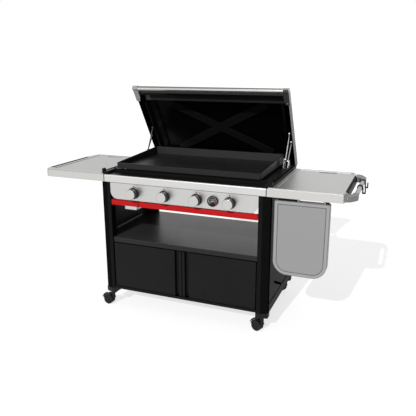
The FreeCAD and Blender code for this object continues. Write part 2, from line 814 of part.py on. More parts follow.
# Knobs: a skirted dark grip, a steel cap over its front, and the spindle that it slides on
skirt_back = fascia_front - knob_travel - knob_skirt_gap
skirt_front = skirt_back - knob_skirt_length
grip_front = skirt_front - knob_grip_length
cap_front = grip_front - knob_cap_length
cap_radius = knob_grip_radius + 0.6
spindle_tip = cap_front + spindle_end
flat_play = 0.03
valve_front = manifold_y - valve_depth / 2.0
valve_boss_front = valve_front - valve_boss_length
valve_bore_end = valve_front + 10.0


def spindle_solid(x, radius, flat, front, rear):
    shaft = rod((x, front, knob_z), (x, rear, knob_z), radius)
    key = block(x - 10, x + 10, front - 1, skirt_back + knob_travel, knob_z + flat, knob_z + 10)
    return shaft.cut(key)


for number, x in enumerate(knob_x, start=1):
    grip = join(
        rod((x, skirt_front, knob_z), (x, skirt_back, knob_z), knob_skirt_radius),
        rod((x, grip_front, knob_z), (x, skirt_front, knob_z), knob_grip_radius),
        rod((x, cap_front + knob_cap_wall + 0.1, knob_z), (x, grip_front, knob_z), cap_radius - knob_cap_wall - 0.1),
    )
    grooves = []
    for i in range(knob_grooves):
        angle = 2.0 * math.pi * i / knob_grooves
        gx = x + (knob_grip_radius + 0.4) * math.cos(angle)
        gz = knob_z + (knob_grip_radius + 0.4) * math.sin(angle)
        grooves.append(rod((gx, grip_front, gz), (gx, skirt_front, gz), knob_groove_radius))
    grip = grip.cut(grooves)
    socket_tip = spindle_tip - knob_travel - 0.5
    socket_cut = spindle_solid(x, spindle_radius + shaft_play, spindle_flat + flat_play, socket_tip, skirt_back + 1)
    save("knob_%d" % number, grip.cut(socket_cut))
    cap = rod((x, cap_front, knob_z), (x, grip_front, knob_z), cap_radius)
    cap = cap.makeFillet(2.5, [e for e in cap.Edges if e.BoundBox.YMax < cap_front + 0.01])
    cap = cap.cut(rod((x, cap_front + knob_cap_wall, knob_z), (x, grip_front + 1, knob_z), cap_radius - knob_cap_wall))
    save("knob_cap_%d" % number, cap)
    spindle = spindle_solid(x, spindle_radius, spindle_flat, spindle_tip, valve_bore_end - 1.0)
    save("knob_spindle_%d" % number, spindle)

# Gas manifold with the inlet at its right end and two brackets to the firebox front
pipe_end = knob_x[-1] + manifold_overhang
pipe = rod((-pipe_end, manifold_y, manifold_z), (pipe_end, manifold_y, manifold_z), manifold_radius)
pipe_bore = rod(
    (-pipe_end + 3, manifold_y, manifold_z), (pipe_end, manifold_y, manifold_z), manifold_radius - manifold_wall,
)
inlet_x = pipe_end + inlet_nut / 2.0
nut_half = inlet_nut / 2.0
inlet_end = manifold_y + nut_half + inlet_length
inlet = join(
    block(pipe_end - 1, pipe_end + inlet_nut, manifold_y - nut_half, manifold_y + nut_half,
          manifold_z - nut_half, manifold_z + nut_half),
    rod((inlet_x, manifold_y, manifold_z), (inlet_x, inlet_end, manifold_z), inlet_radius),
)
inlet_hole = join(
    rod((pipe_end - 2, manifold_y, manifold_z), (inlet_x, manifold_y, manifold_z), inlet_bore),
    rod((inlet_x, manifold_y, manifold_z), (inlet_x, inlet_end + 1, manifold_z), inlet_bore),
)
manifold = join(pipe, inlet)
wall_face = firebox_front - seat_gap
for x in (-manifold_arm_x, manifold_arm_x):
    arm = block(x - 8, x + 8, manifold_y, wall_face, manifold_z - 3, manifold_z + 3)
    tab = block(x - 8, x + 8, wall_face - 3, wall_face, manifold_z - 3, firebox_bottom + 22.0)
    manifold = join(manifold, arm, tab)
save("gas_manifold", cut(manifold, pipe_bore, inlet_hole))

# Valves on the manifold, one behind each knob, with the nozzle into its burner
valve_rear = manifold_y + valve_depth / 2.0
nozzle_end = valve_rear + nozzle_length
valve_half = valve_width / 2.0
burner_front = nozzle_end - 9.0
valves = []
for x in knob_x:
    body = join(
        block(x - valve_half, x + valve_half, valve_front, valve_rear, manifold_z + 4.0, burner_z + 14.0),
        rod((x, valve_boss_front, knob_z), (x, valve_front, knob_z), valve_boss_radius),
        rod((x, valve_rear, burner_z), (x, nozzle_end, burner_z), nozzle_radius),
    )
    valves.append(cut(
        body,
        rod((x - 30, manifold_y, manifold_z), (x + 30, manifold_y, manifold_z), manifold_radius),
        rod((x, valve_boss_front - 1, knob_z), (x, valve_bore_end, knob_z), spindle_radius + shaft_play),
        rod((x, valve_rear - 12, burner_z), (x, nozzle_end + 1, burner_z), 1.0),
    ))
save("gas_valves", *valves)

# Burner tubes with a row of flame ports on both sides, each with its igniter electrode
burner_rear = firebox_rear - 15.0
port_front = firebox_front + 35.0
burner_items = []
for x in knob_x:
    tube_body = join(
        rod((x, burner_front, burner_z), (x, burner_rear, burner_z), burner_radius),
        rod((x, burner_rear - 1, burner_z), (x, firebox_rear - seat_gap, burner_z), burner_pin_radius),
    )
    bore = rod((x, burner_front - 1, burner_z), (x, burner_rear - 2, burner_z), burner_radius - burner_wall)
    ports = []
    for i in range(burner_ports):
        y = port_front + i * burner_port_pitch
        ports.append(block(x - 20, x + 20, y, y + burner_port_length, burner_z + 4.0, burner_z + 6.0))
    burner_items.append(tube_body.cut([bore] + ports))
    ex = x + burner_radius + 9.0
    ey = firebox_front + deck_sheet
    burner_items.append(join(
        rod((ex, ey + seat_gap, burner_z + 9.0), (ex, ey + electrode_length, burner_z + 9.0), electrode_radius),
        rod((ex, ey + seat_gap, burner_z + 9.0), (ex, ey + 6.0, burner_z + 9.0), 2.0 * electrode_radius),
    ))
save("burners", *burner_items)

# Firebox: front wall, sides with an outer flange on the channels, ledges for the plate
box_inner = firebox_side_x - deck_sheet
wall_top = channel_top
firebox = join(
    block(-firebox_front_half, firebox_front_half, firebox_front, firebox_front + deck_sheet, firebox_bottom, firebox_top),
    block(box_inner, firebox_side_x, firebox_front, firebox_rear, firebox_bottom, wall_top),
    block(-firebox_side_x, -box_inner, firebox_front, firebox_rear, firebox_bottom, wall_top),
    block(-firebox_side_x, firebox_side_x, firebox_rear - deck_sheet, firebox_rear, firebox_bottom, wall_top),
    block(-firebox_side_x, firebox_side_x, firebox_front, firebox_rear, firebox_bottom, firebox_bottom + deck_sheet),
    block(box_inner, channel_x0 - seat_gap, firebox_front, firebox_rear, wall_top - deck_sheet, wall_top),
    block(-channel_x0 + seat_gap, -box_inner, firebox_front, firebox_rear, wall_top - deck_sheet, wall_top),
    block(box_inner - ledge_width, box_inner, firebox_front, firebox_rear, ledge_top - deck_sheet, ledge_top),
    block(-box_inner, -box_inner + ledge_width, firebox_front, firebox_rear, ledge_top - deck_sheet, ledge_top),
    rod((chute_x, chute_y, red_top + 12.0), (chute_x, chute_y, ledge_top), chute_radius),
)
box_holes = [
    rod((x, firebox_front - 1, burner_z), (x, firebox_front + 5, burner_z), burner_radius + seat_gap) for x in knob_x
]
box_holes.extend([
    rod((x, firebox_rear - 5, burner_z), (x, firebox_rear + 1, burner_z), burner_pin_radius + seat_gap) for x in knob_x
])
box_holes.append(rod((chute_x, chute_y, red_top), (chute_x, chute_y, ledge_top + 1), chute_radius - deck_sheet))
save("firebox", cut(firebox, *box_holes))

# Heat baffle below the burners, on its folded feet
baffle_z = firebox_bottom + deck_sheet + seat_gap
baffle_x = box_inner - 32.0
baffle_y0 = firebox_front + 25.0
baffle_y1 = chute_y - chute_radius - 5.0
baffle = join(
    block(-baffle_x, baffle_x, baffle_y0, baffle_y1, baffle_z + baffle_height - sheet, baffle_z + baffle_height),
    block(-baffle_x, baffle_x, baffle_y0, baffle_y0 + sheet, baffle_z, baffle_z + baffle_height),
    block(-baffle_x, baffle_x, baffle_y1 - sheet, baffle_y1, baffle_z, baffle_z + baffle_height),
)
save("heat_baffle", baffle)

# Griddle plate: a thick floor with feet and the grease drain, and four walls welded round it
plate_rear = plate_front + plate_depth
plate_body = prism("x", -plate_half, plate_half, [
    (plate_front, plate_bottom), (plate_front, plate_front_top),
    (plate_rear, plate_rear_top), (plate_rear, plate_bottom),
])
upright = [
    e for e in plate_body.Edges
    if abs(e.BoundBox.XLength) < 0.01 and abs(e.BoundBox.YLength) < 0.01
]
plate_body = plate_body.makeFillet(plate_corner, upright)
wall_x = plate_half - plate_wall
wall_front = plate_front + plate_wall
wall_rear = plate_rear - plate_wall
above = plate_rear_top + 5.0
front_wall = plate_body.common(block(-plate_half, plate_half, plate_front, wall_front, plate_bottom, above))
rear_wall = plate_body.common(block(-plate_half, plate_half, wall_rear, plate_rear, plate_bottom, above))
side_wall = plate_body.common(block(
    wall_x, plate_half, wall_front + seat_gap, wall_rear - seat_gap, plate_bottom, above))
plate_slab = block(
    -wall_x + seat_gap, wall_x - seat_gap, wall_front + seat_gap, wall_rear - seat_gap,
    plate_bottom, plate_bottom + plate_floor)
foot_x = box_inner - 30.0
for x in (-foot_x, foot_x):
    for y in (firebox_front + 22.0, chute_y - 45.0):
        plate_slab = plate_slab.fuse(rod((x, y, ledge_top + seat_gap), (x, y, plate_bottom + 1), plate_foot_radius))
drain = rod((chute_x, chute_y, plate_bottom - 1), (chute_x, chute_y, plate_bottom + 20), drain_radius)
plate_slab = plate_slab.removeSplitter().cut(drain)
save("griddle_plate", plate_slab, front_wall, rear_wall, side_wall, mirror_x(side_wall))

# Grease tray: red front, long shallow channel with side flanges, and a hole for the liner
tray_x0 = -tray_left + tray_wall_inset
tray_x1 = -tray_split - tray_wall_inset + 1.0
tray_y0 = front_y + tray_front_depth
tray_y1 = tray_y0 + tray_length - 10.0
flange_z = red_top - 1.0
tray = join(
    block(-tray_left, -tray_split - seat_gap, front_y, tray_y0, red_bottom, red_top),
    block(tray_x0, tray_x1, tray_y0 - 1, tray_y1, tray_floor_z, flange_z),
)
tray = tray.cut(block(tray_x0 + sheet, tray_x1 - sheet, tray_y0, tray_y1 - sheet, tray_floor_z + sheet, flange_z + 1))
tray = join(
    tray,
    block(tray_x0 - tray_flange, tray_x0 + sheet, tray_y0 - 1, tray_y1, flange_z, flange_z + sheet),
    block(tray_x1 - sheet, tray_x1 + tray_flange, tray_y0 - 1, tray_y1, flange_z, flange_z + sheet),
)
liner_hole = prism("z", tray_floor_z - 1, tray_floor_z + 5, rectangle(
    liner_x0 - 0.8, liner_x1 + 0.8, liner_front - 0.8, liner_front + liner_depth + 0.8,
), 14.8)
save("grease_tray", tray.cut(liner_hole))

# Foil liner: a small pan that hangs by its rim in the tray's floor
liner_top = tray_floor_z + sheet + seat_gap + liner_wall
liner_pan = join(
    prism("z", liner_bottom, liner_top, rectangle(liner_x0, liner_x1, liner_front, liner_front + liner_depth), 14.0),
    prism("z", liner_top - liner_wall, liner_top, rectangle(
        liner_x0 - liner_rim, liner_x1 + liner_rim, liner_front - liner_rim, liner_front + liner_depth + liner_rim,
    ), 18.0),
)
liner_hollow = prism("z", liner_bottom + liner_wall, liner_top + 1, rectangle(
    liner_x0 + liner_wall, liner_x1 - liner_wall, liner_front + liner_wall, liner_front + liner_depth - liner_wall,
), 13.2)
save("tray_liner", liner_pan.cut(liner_hollow))

# Runners: two angles that hang under the firebox and carry the tray's flanges
ledge_z = flange_z - seat_gap
runner_front = front_y + red_depth + seat_gap
runner_upstand = manifold_z - manifold_radius - 4.0
runner_left = join(
    block(-tray_left, -tray_left + sheet, runner_front, tray_y1, ledge_z - sheet, runner_upstand),
    block(-tray_left, -tray_left + sheet, firebox_front, tray_y1, ledge_z - sheet, firebox_bottom - seat_gap),
    block(-tray_left, -tray_left + runner_ledge, runner_front, tray_y1, ledge_z - sheet, ledge_z),
    block(-tray_left, -tray_left + 12.0, firebox_front, tray_y1, firebox_bottom - seat_gap - sheet,
          firebox_bottom - seat_gap),
)
runner_x = tray_x1 + tray_flange + 4.0
runner_right = join(
    block(runner_x, runner_x + sheet, runner_front, tray_y1, ledge_z - sheet, runner_upstand),
    block(runner_x, runner_x + sheet, firebox_front, tray_y1, ledge_z - sheet, firebox_bottom - seat_gap),
    block(runner_x + sheet - runner_ledge - 1.0, runner_x + sheet, runner_front, tray_y1, ledge_z - sheet, ledge_z),
    block(runner_x, runner_x + 12.0, firebox_front, tray_y1, firebox_bottom - seat_gap - sheet,
          firebox_bottom - seat_gap),
)
save("tray_runners", runner_left, runner_right)

# Red rail: a tube between the tray's front and the right leg, hung from the front cross rail
red_right = leg_inner - red_gap
rail_hang_z = cross_top - cross_rail_height - seat_gap
red_rail = join(
    tube(-tray_split + seat_gap, red_right, front_y, front_y + red_depth, red_bottom, red_top, rail_wall, "x"),
    block(red_right - rail_wall, red_right, front_y, front_y + red_depth, red_bottom, red_top),
    block(red_right - 1, leg_inner - seat_gap, front_y + 5, front_y + 15, red_bottom + 5, red_top - 5),
    block(red_right - 38, red_right - 24, cross_front + 1, cross_front + 3.5, red_top - rail_wall, rail_hang_z),
    block(-tray_split + 20, -tray_split + 34, cross_front + 1, cross_front + 3.5, red_top - rail_wall, rail_hang_z),
)
save("red_rail", red_rail)

# Side channels beside the firebox, with a long groove, a raised front end and a bumper for the lid
channel_bottom = rail_top + seat_gap
channel = block(channel_x0, channel_x1, channel_front, channel_rear, channel_bottom, channel_top)
channel = cut(
    channel,
    block(channel_slot_x0, channel_slot_x1, channel_front + 10, channel_rear - 12,
          channel_top - channel_slot_depth, channel_top + 1),
    block(channel_x0 + deck_sheet, channel_x1 - deck_sheet, channel_front + deck_sheet, channel_rear + 1,
          channel_bottom + deck_sheet, channel_top - channel_slot_depth - deck_sheet),
)
bumper_x = lid_half_width - lid_sheet / 2.0
bumper_y = channel_front + bumper_setback
bumper = rod(
    (bumper_x, bumper_y, channel_top - 1), (bumper_x, bumper_y, channel_top + bumper_height), bumper_radius,
)
post = block(
    channel_post_x0, channel_x1, channel_front, channel_front + channel_post_length,
    channel_top - 1, channel_top + channel_post_height)
channel = join(channel, bumper, post)
save("lid_channels", channel, mirror_x(channel))

# Link brackets: a base plate on the channel, with an inner and an outer cheek that hold the pins
inner_cheek_x1 = front_link_x - link_thickness / 2.0 - 1.5
inner_cheek_x0 = inner_cheek_x1 - link_plate
outer_cheek_x0 = rear_link_x + link_thickness / 2.0 + 2.5
outer_cheek_x1 = outer_cheek_x0 + link_plate
plate_z0 = channel_top + seat_gap
plate_z1 = plate_z0 + link_plate


def cheek(x0, x1, pivot, reach):
    return prism("x", x0, x1, [
        (pivot[0] - 28.0, plate_z0), (pivot[0] - reach, pivot[1] + reach),
        (pivot[0] + reach, pivot[1] + reach), (pivot[0] + 32.0, plate_z0),
    ], [0, reach * 0.8, reach * 0.8, 0])


link_bracket = join(
    block(inner_cheek_x0, outer_cheek_x1, link_base_front, link_base_rear, plate_z0, plate_z1),
    cheek(inner_cheek_x0, inner_cheek_x1, front_pivot, 11.0),
    cheek(outer_cheek_x0, outer_cheek_x1, rear_pivot, 10.0),
    rod((inner_cheek_x0, front_pivot[0], front_pivot[1]),
        (front_link_x + link_thickness / 2.0 + 1.0, front_pivot[0], front_pivot[1]), link_pin_radius),
    rod((rear_link_x - link_thickness / 2.0 - 1.0, rear_pivot[0], rear_pivot[1]),
        (outer_cheek_x1, rear_pivot[0], rear_pivot[1]), link_pin_radius),
)
save("arm_brackets", link_bracket, mirror_x(link_bracket))


def opened(shape):
    """A lid piece moved from the lid's own plane to its open place."""
    result = shape.copy()
    result.rotate(V(0, 0, 0), V(1, 0, 0), -lid_open_angle)
    result.translate(V(0, lid_front_y, lid_front_z))
    return result


def lid_point(pivot):
    angle = math.radians(lid_open_angle)
    y = lid_front_y + pivot[0] * math.cos(angle) + pivot[1] * math.sin(angle)
    z = lid_front_z - pivot[0] * math.sin(angle) + pivot[1] * math.cos(angle)
    return (y, z)


# Lid links: a rod between two eyes each. The rear link's upper eye is wider than its pin.
front_upper = lid_point(front_lid_pivot)
rear_upper = lid_point(rear_lid_pivot)


def link(x, low, high, low_bore, high_bore):
    half = link_thickness / 2.0
    body = join(
        rod((x - half, low[0], low[1]), (x + half, low[0], low[1]), link_eye_radius),
        rod((x - half, high[0], high[1]), (x + half, high[0], high[1]), link_eye_radius),
        rod((x, low[0], low[1]), (x, high[0], high[1]), link_rod_radius),
    )
    return cut(
        body,
        rod((x - 10, low[0], low[1]), (x + 10, low[0], low[1]), low_bore),
        rod((x - 10, high[0], high[1]), (x + 10, high[0], high[1]), high_bore),
    )


running_bore = link_pin_radius + shaft_play
front_arm = link(front_link_x, front_pivot, front_upper, running_bore, running_bore)
rear_arm = link(rear_link_x, rear_pivot, rear_upper, running_bore, open_pin_radius + open_pin_play)
save("front_arms", front_arm, mirror_x(front_arm))
save("rear_arms", rear_arm, mirror_x(rear_arm))


def lid_section(w, half, s0, s1, radius):
    return outline("z", w, rectangle(-half, half, s0, s1), radius)


# Lid shell: upright walls, then shoulders up to the top panel. A narrow lip returns at the front.
top_front = lid_top_front
top_rear = lid_top_rear
shell_outer = join(
    prism("z", 0, lid_wall_height, rectangle(-lid_half_width, lid_half_width, 0, lid_length), lid_corner),
    Part.makeLoft([
        lid_section(lid_wall_height, lid_half_width, 0, lid_length, lid_corner),
        lid_section(lid_height, lid_top_half_width, top_front, top_rear, lid_corner),
    ], True, True),
)
t = lid_sheet
shell_inner = join(
    prism("z", -5, lid_wall_height, rectangle(-lid_half_width + t, lid_half_width - t, t, lid_length - t), lid_corner - t),
    Part.makeLoft([
        lid_section(lid_wall_height, lid_half_width - t, t, lid_length - t, lid_corner - t),
        lid_section(lid_height - t, lid_top_half_width - t, top_front + t, top_rear - t, lid_corner - t),
    ], True, True),
)
shell = shell_outer.cut(shell_inner)
shell_lip = prism("z", 0, t, rectangle(-lid_half_width, lid_half_width, 0, lid_lip), [lid_corner, lid_corner, 0, 0])
shell = join(shell, shell_lip)
hinge_x0 = outer_cheek_x0 + 0.5
hinge_x1 = lid_half_width - lid_sheet - seat_gap
front_lid_w = front_lid_pivot[1]
rear_lid_w = rear_lid_pivot[1]
lid_hinge = join(
    prism("x", hinge_x0, hinge_x1, [
        (front_lid_pivot[0] - 16.0, 3.0), (front_lid_pivot[0] - 16.0, front_lid_w + 14.0),
        (rear_lid_pivot[0] + 18.0, front_lid_w + 14.0), (rear_lid_pivot[0] + 18.0, 3.0),
    ], 6.0),
    rod((front_link_x - link_thickness / 2.0 - 0.8, front_lid_pivot[0], front_lid_w),
        (hinge_x1, front_lid_pivot[0], front_lid_w), link_pin_radius),
    rod((rear_link_x - link_thickness / 2.0 - 1.0, rear_lid_pivot[0], rear_lid_w),
        (hinge_x1, rear_lid_pivot[0], rear_lid_w), open_pin_radius),
)
save("lid_shell", opened(shell), opened(lid_hinge), opened(mirror_x(lid_hinge)))

# Lid liner: a dished sheet with a curved front shelf, and ribs pressed in the shape of an X
dish_depth = lid_height - lid_sheet - seat_gap
u = liner_sheet


def dish_solid(inset, low, deep):
    """Dish of the liner as a closed solid: steep walls up to a shoulder, then a shallow slope."""
    brim = lid_section(low, liner_half_width - inset, liner_front_s + inset, liner_rear_s - inset, liner_corner)
    shoulder = lid_section(
        liner_shoulder_w, liner_half_width - liner_taper - inset, liner_front_s + inset,
        liner_rear_s - 1.5 * liner_taper - inset, liner_corner,
    )
    bottom = lid_section(
        deep, lid_top_half_width - t - inset, liner_front_s + liner_slope + inset,
        top_rear - t - inset, liner_corner,
    )
    return join(Part.makeLoft([brim, shoulder], True, True), Part.makeLoft([shoulder, bottom], True, True))


rib_mid_s = (rib_front_s + rib_rear_s) / 2.0


def rib(inset, low, high):
    """Two crossing bars, narrower at the crown."""
    half = rib_width / 2.0 - inset
    reach = math.hypot(rib_rear_s - rib_front_s, 2.0 * rib_half_span) / 2.0 - inset
    angle = math.degrees(math.atan2(rib_rear_s - rib_front_s, 2.0 * rib_half_span))
    crown_half = half - rib_draft
    crown_reach = reach - rib_draft
    bars = []
    for turn in (angle, -angle):
        crown = outline("z", low, rectangle(-crown_reach, crown_reach, -crown_half, crown_half), 8.0)
        base = outline("z", high, rectangle(-reach, reach, -half, half), 8.0)
        bar = Part.makeLoft([crown, base], True, True)
        bar.rotate(V(0, 0, 0), V(0, 0, 1), turn)
        bar.translate(V(0, rib_mid_s, 0))
        bars.append(bar)
    return join(bars[0], bars[1])


liner = dish_solid(0, liner_side_w, dish_depth).cut(dish_solid(u, liner_side_w - 0.001, dish_depth - u))
rib_skin = rib(0, dish_depth - u - rib_height, dish_depth - u + 0.2)
liner = join(liner, rib_skin.common(dish_solid(0, liner_side_w, dish_depth)))
liner = cut(liner, rib(u, dish_depth - rib_height, dish_depth + 5))
liner = cut(liner, block(-lid_half_width, lid_half_width, -10, liner_front_s + 8, 0, liner_front_w))
ramp_line = [V(-liner_half_width, s, w) for s, w in liner_ramp + [(liner_front_s + u, liner_front_w)]]
ramp_low = Part.BSplineCurve()
ramp_low.interpolate(ramp_line)
ramp_high = Part.BSplineCurve()
ramp_high.interpolate([point + V(0, 0, u) for point in ramp_line])
ramp_wire = Part.Wire([
    ramp_low.toShape(),
    Part.makeLine(ramp_line[-1], ramp_line[-1] + V(0, 0, u)),
    ramp_high.toShape(),
    Part.makeLine(ramp_line[0], ramp_line[0] + V(0, 0, u)),
])
liner = join(
    liner,
    Part.Face(ramp_wire).extrude(V(2.0 * liner_half_width, 0, 0)),
    prism("z", liner_side_w, liner_side_w + u, rectangle(
        -liner_half_width, liner_half_width, liner_rear_s - 2, lid_length - lid_sheet - seat_gap), 0),
)
save("lid_liner", opened(liner))

# Lid handle: steel bar between two end brackets that clamp on the shell's front corners
bracket_boss = rod((lid_bracket_inner, lid_bar_s, lid_bar_w), (lid_bracket_outer, lid_bar_s, lid_bar_w), lid_bar_radius + 2.5)
bracket_arm = prism("x", lid_half_width + seat_gap, lid_bracket_outer, [
    (lid_bar_s - 8.0, lid_bar_w - 12.0), (lid_bracket_rear, -2.0),
    (lid_bracket_rear, 22.0), (lid_bar_s - 4.0, lid_bar_w + 15.0),
], [6, 6, 9, 6])
bracket_front = prism("x", lid_bracket_inner, lid_bracket_outer, [
    (lid_bar_s, lid_bar_w - 13.0), (-seat_gap, -1.0), (-seat_gap, 26.0), (lid_bar_s, lid_bar_w + 13.0),
])
bracket_face = prism("z", -seat_gap - lid_plate, -seat_gap, [
    (lid_bracket_inner, lid_bracket_front), (lid_bracket_outer, lid_bracket_front),
    (lid_bracket_outer, lid_bracket_rear), (lid_plate_notch_x, lid_bracket_rear),
    (lid_plate_notch_x, lid_plate_notch_s), (lid_bracket_inner, lid_plate_notch_s),
], [8, 8, 4, 4, 0, 4])
pocket_end = lid_bracket_inner + handle_pocket
bar_pocket = rod((lid_bracket_inner - 1, lid_bar_s, lid_bar_w), (pocket_end, lid_bar_s, lid_bar_w), lid_bar_radius)
lid_bracket = cut(join(bracket_boss, bracket_arm, bracket_front, bracket_face), bar_pocket)
save("lid_handle_brackets", opened(lid_bracket), opened(mirror_x(lid_bracket)))
bar_half = pocket_end
lid_bar = cut(
    rod((-bar_half, lid_bar_s, lid_bar_w), (bar_half, lid_bar_s, lid_bar_w), lid_bar_radius),
    rod((-bar_half - 1, lid_bar_s, lid_bar_w), (bar_half + 1, lid_bar_s, lid_bar_w), lid_bar_radius - bar_wall),
)
save("lid_handle_bar", opened(lid_bar))

# Side tables: hollow tops of sheet, with a rounded front edge and a recessed panel
table_rear = front_y + table_depth
table_inner = channel_x1 + seat_gap
seam_x = strip_half + table_seam


def table_solid(points, radii):
    """Table body: edge band, then a narrow shoulder up to the raised top, hollow underneath."""
    face = Part.Face(outline("z", strip_bottom, points, radii))
    band = face.extrude(V(0, 0, table_edge_z - strip_bottom))
    raised = Part.Face(outline("z", table_edge_z, points, radii)).makeOffset2D(-table_shoulder / 2.0)
    crown = raised.extrude(V(0, 0, table_top_z - table_edge_z))
    hollow_face = Part.Face(outline("z", strip_bottom - 1, points, radii)).makeOffset2D(-deck_sheet)
    hollow = hollow_face.extrude(V(0, 0, table_edge_z - deck_sheet - strip_bottom + 1))
    return join(band, crown).cut(hollow)


def table_recess(outer_x):
    return prism("z", table_top_z - table_panel_drop, table_top_z + 1, rectangle(
        table_panel_inner, outer_x, front_y + table_panel_inset, table_rear - table_panel_inset), 20.0)


slot_x0 = table_slot_x - table_slot_length / 2.0
slot_x1 = table_slot_x + table_slot_length / 2.0
slot_y0 = table_slot_y - table_slot_width / 2.0
slot_y1 = table_slot_y + table_slot_width / 2.0
rear_slot = prism("z", strip_bottom, table_top_z + 5, rectangle(slot_x0, slot_x1, slot_y0, slot_y1), 5.0)
inner_corner_y = channel_front - seat_gap
left_points = [
    (seam_x, front_y), (left_table_end - 22, front_y), (left_table_end, front_y + 62),
    (left_table_end, table_rear - table_corner_run), (left_table_end - table_corner_cut, table_rear),
    (table_inner, table_rear), (table_inner, inner_corner_y), (seam_x, inner_corner_y),
]
left_top = table_solid(left_points, [0, 34, 34, 60, 40, 0, 0, 0])
end_slot = prism("z", table_top_z - end_slot_depth, table_top_z + 5, rectangle(
    end_slot_x - end_slot_width / 2.0, end_slot_x + end_slot_width / 2.0, end_slot_front, end_slot_rear), 5.0)
left_top = cut(left_top, table_recess(table_front_end - 14.0), rear_slot, end_slot)
save("left_table", mirror_x(left_top))
right_chamfer_y = front_y + 45.0
right_points = [
    (seam_x, front_y), (table_front_end, front_y), (right_table_end, right_chamfer_y),
    (right_table_end, table_rear - right_corner_run), (table_front_end - 8, table_rear),
    (table_inner, table_rear), (table_inner, inner_corner_y), (seam_x, inner_corner_y),
]
right_top = table_solid(right_points, [0, 4, 8, 20, 20, 0, 0, 0])
save("right_table", cut(right_top, table_recess(right_table_end - 25.0), rear_slot))

# Right handle: two cast brackets on the table's outer corners, with the round bar between them
half = handle_bracket_half
grip_in = handle_x - half
grip_out = handle_x + half


def handle_bracket(corner_y, table_y, bar_y, lap):
    """A cast arm from the table's corner round to the end of the bar."""
    sign = 1.0 if bar_y > corner_y else -1.0
    points = [
        (table_front_end + seat_gap * 2, corner_y), (table_front_end + 30.0, corner_y),
        (grip_out, bar_y - sign * 32.0), (grip_out, bar_y + sign * lap),
        (grip_in, bar_y + sign * lap), (grip_in, bar_y - sign * 18.0),
        (right_table_end + seat_gap, table_y + sign * 16.0), (right_table_end + seat_gap, table_y),
    ]
    return prism("z", handle_z - half, handle_z + half, points, [2, 34, 40, 4, 4, 14, 2, 2])


front_bracket = handle_bracket(front_y, right_chamfer_y, handle_front, front_lap)
rear_bracket = handle_bracket(table_rear, table_rear - right_corner_run, handle_rear, rear_lap)
bar_front = handle_front - handle_pocket
bar_rear = handle_rear + handle_pocket
bar = rod((handle_x, bar_front, handle_z), (handle_x, bar_rear, handle_z), handle_radius)
recess = rod((screw_x, front_y - 1, handle_z), (screw_x, front_y + screw_depth, handle_z), screw_radius)
save("handle_brackets", front_bracket.cut(bar).cut(recess), rear_bracket.cut(bar))
bar_core = rod((handle_x, bar_front - 1, handle_z), (handle_x, bar_rear + 1, handle_z), handle_radius - bar_wall)
save("handle_bar", bar.cut(bar_core))

# Hook clips: a ring round the bar each, with a hook on the outer side
clip_inner = handle_radius + clip_play
clip_outer = clip_inner + clip_wall
clip_names = ["hook_clip_front", "hook_clip_rear"]
hook_x = handle_x + clip_outer + clip_hook_reach
hook_mouth_x = hook_x + clip_hook_mouth
clip_tip = hook_mouth_x + clip_hook_bar
hook_z = handle_z - clip_hook_drop
for name, y in zip(clip_names, clip_y):
    y0 = y - clip_width / 2.0
    y1 = y + clip_width / 2.0
    h0 = y0 + clip_hook_inset
    h1 = y1 - clip_hook_inset
    hook = join(
        rod((handle_x, y0, handle_z), (handle_x, y1, handle_z), clip_outer),
        block(handle_x + clip_inner + 1, hook_x, h0, h1, handle_z - clip_hook_bar, handle_z),
        block(hook_x - clip_hook_bar, hook_x, h0, h1, hook_z, handle_z),
        block(hook_x - clip_hook_bar, clip_tip, h0, h1, hook_z, hook_z + clip_hook_bar),
        block(hook_mouth_x, clip_tip, h0, h1, hook_z, hook_z + clip_hook_lip),
    )
    save(name, hook.cut(rod((handle_x, y0 - 1, handle_z), (handle_x, y1 + 1, handle_z), clip_inner)))

# Prep board: a pan with deep edges, a flat rim and a thin groove round its panel
board_front = front_y + board_setback
board_rear = board_front + board_depth
board_radii = [board_corner, board_corner, 8.0, 8.0]
board_outline = rectangle(board_x0, board_x1, board_bottom, board_top)
board = prism("y", board_front, board_rear, board_outline, board_radii)
inner_outline = rectangle(board_x0 + sheet, board_x1 - sheet, board_bottom + sheet, board_top - sheet)
board = board.cut(prism("y", board_front + deck_sheet, board_rear + 1, inner_outline,
                        [board_corner - sheet, board_corner - sheet, 6.5, 6.5]))
groove_in = board_rim + board_groove
groove_outer = prism("y", board_front - 1, board_front + 1.0, rectangle(
    board_x0 + board_rim, board_x1 - board_rim, board_bottom + board_rim, board_top - board_rim),
    [board_corner - board_rim, board_corner - board_rim, 4.0, 4.0])
groove_inner = prism("y", board_front - 1, board_front + 1.0, rectangle(
    board_x0 + groove_in, board_x1 - groove_in, board_bottom + groove_in, board_top - groove_in),
    [board_corner - groove_in, board_corner - groove_in, 2.0, 2.0])
board = board.cut(groove_outer.cut(groove_inner))
board_axis_y = front_y + board_axis_setback
eye_bore = board_rod_radius + shaft_play
hanger_x0 = board_x0 + board_hanger_start
hanger_x1 = board_x1 - board_end_margin
hanger_spans = [(hanger_x0, hanger_x0 + board_hanger_length), (hanger_x1 - board_end_hanger, hanger_x1)]
eye_x = [hanger_spans[0][1] + 1.0, hanger_spans[1][0] - 1.0 - board_eye_width]
for x in eye_x:
    x_end = x + board_eye_width
    eye = join(
        rod((x, board_axis_y, board_axis_z), (x_end, board_axis_y, board_axis_z), board_eye_radius),
        block(x, x_end, board_axis_y - 4, board_axis_y + 4, board_top - 1, board_axis_z),
    )
    board = join(board, eye)
board = board.cut(rod((board_x0, board_axis_y, board_axis_z), (board_x1, board_axis_y, board_axis_z), eye_bore))
save("prep_board", board)

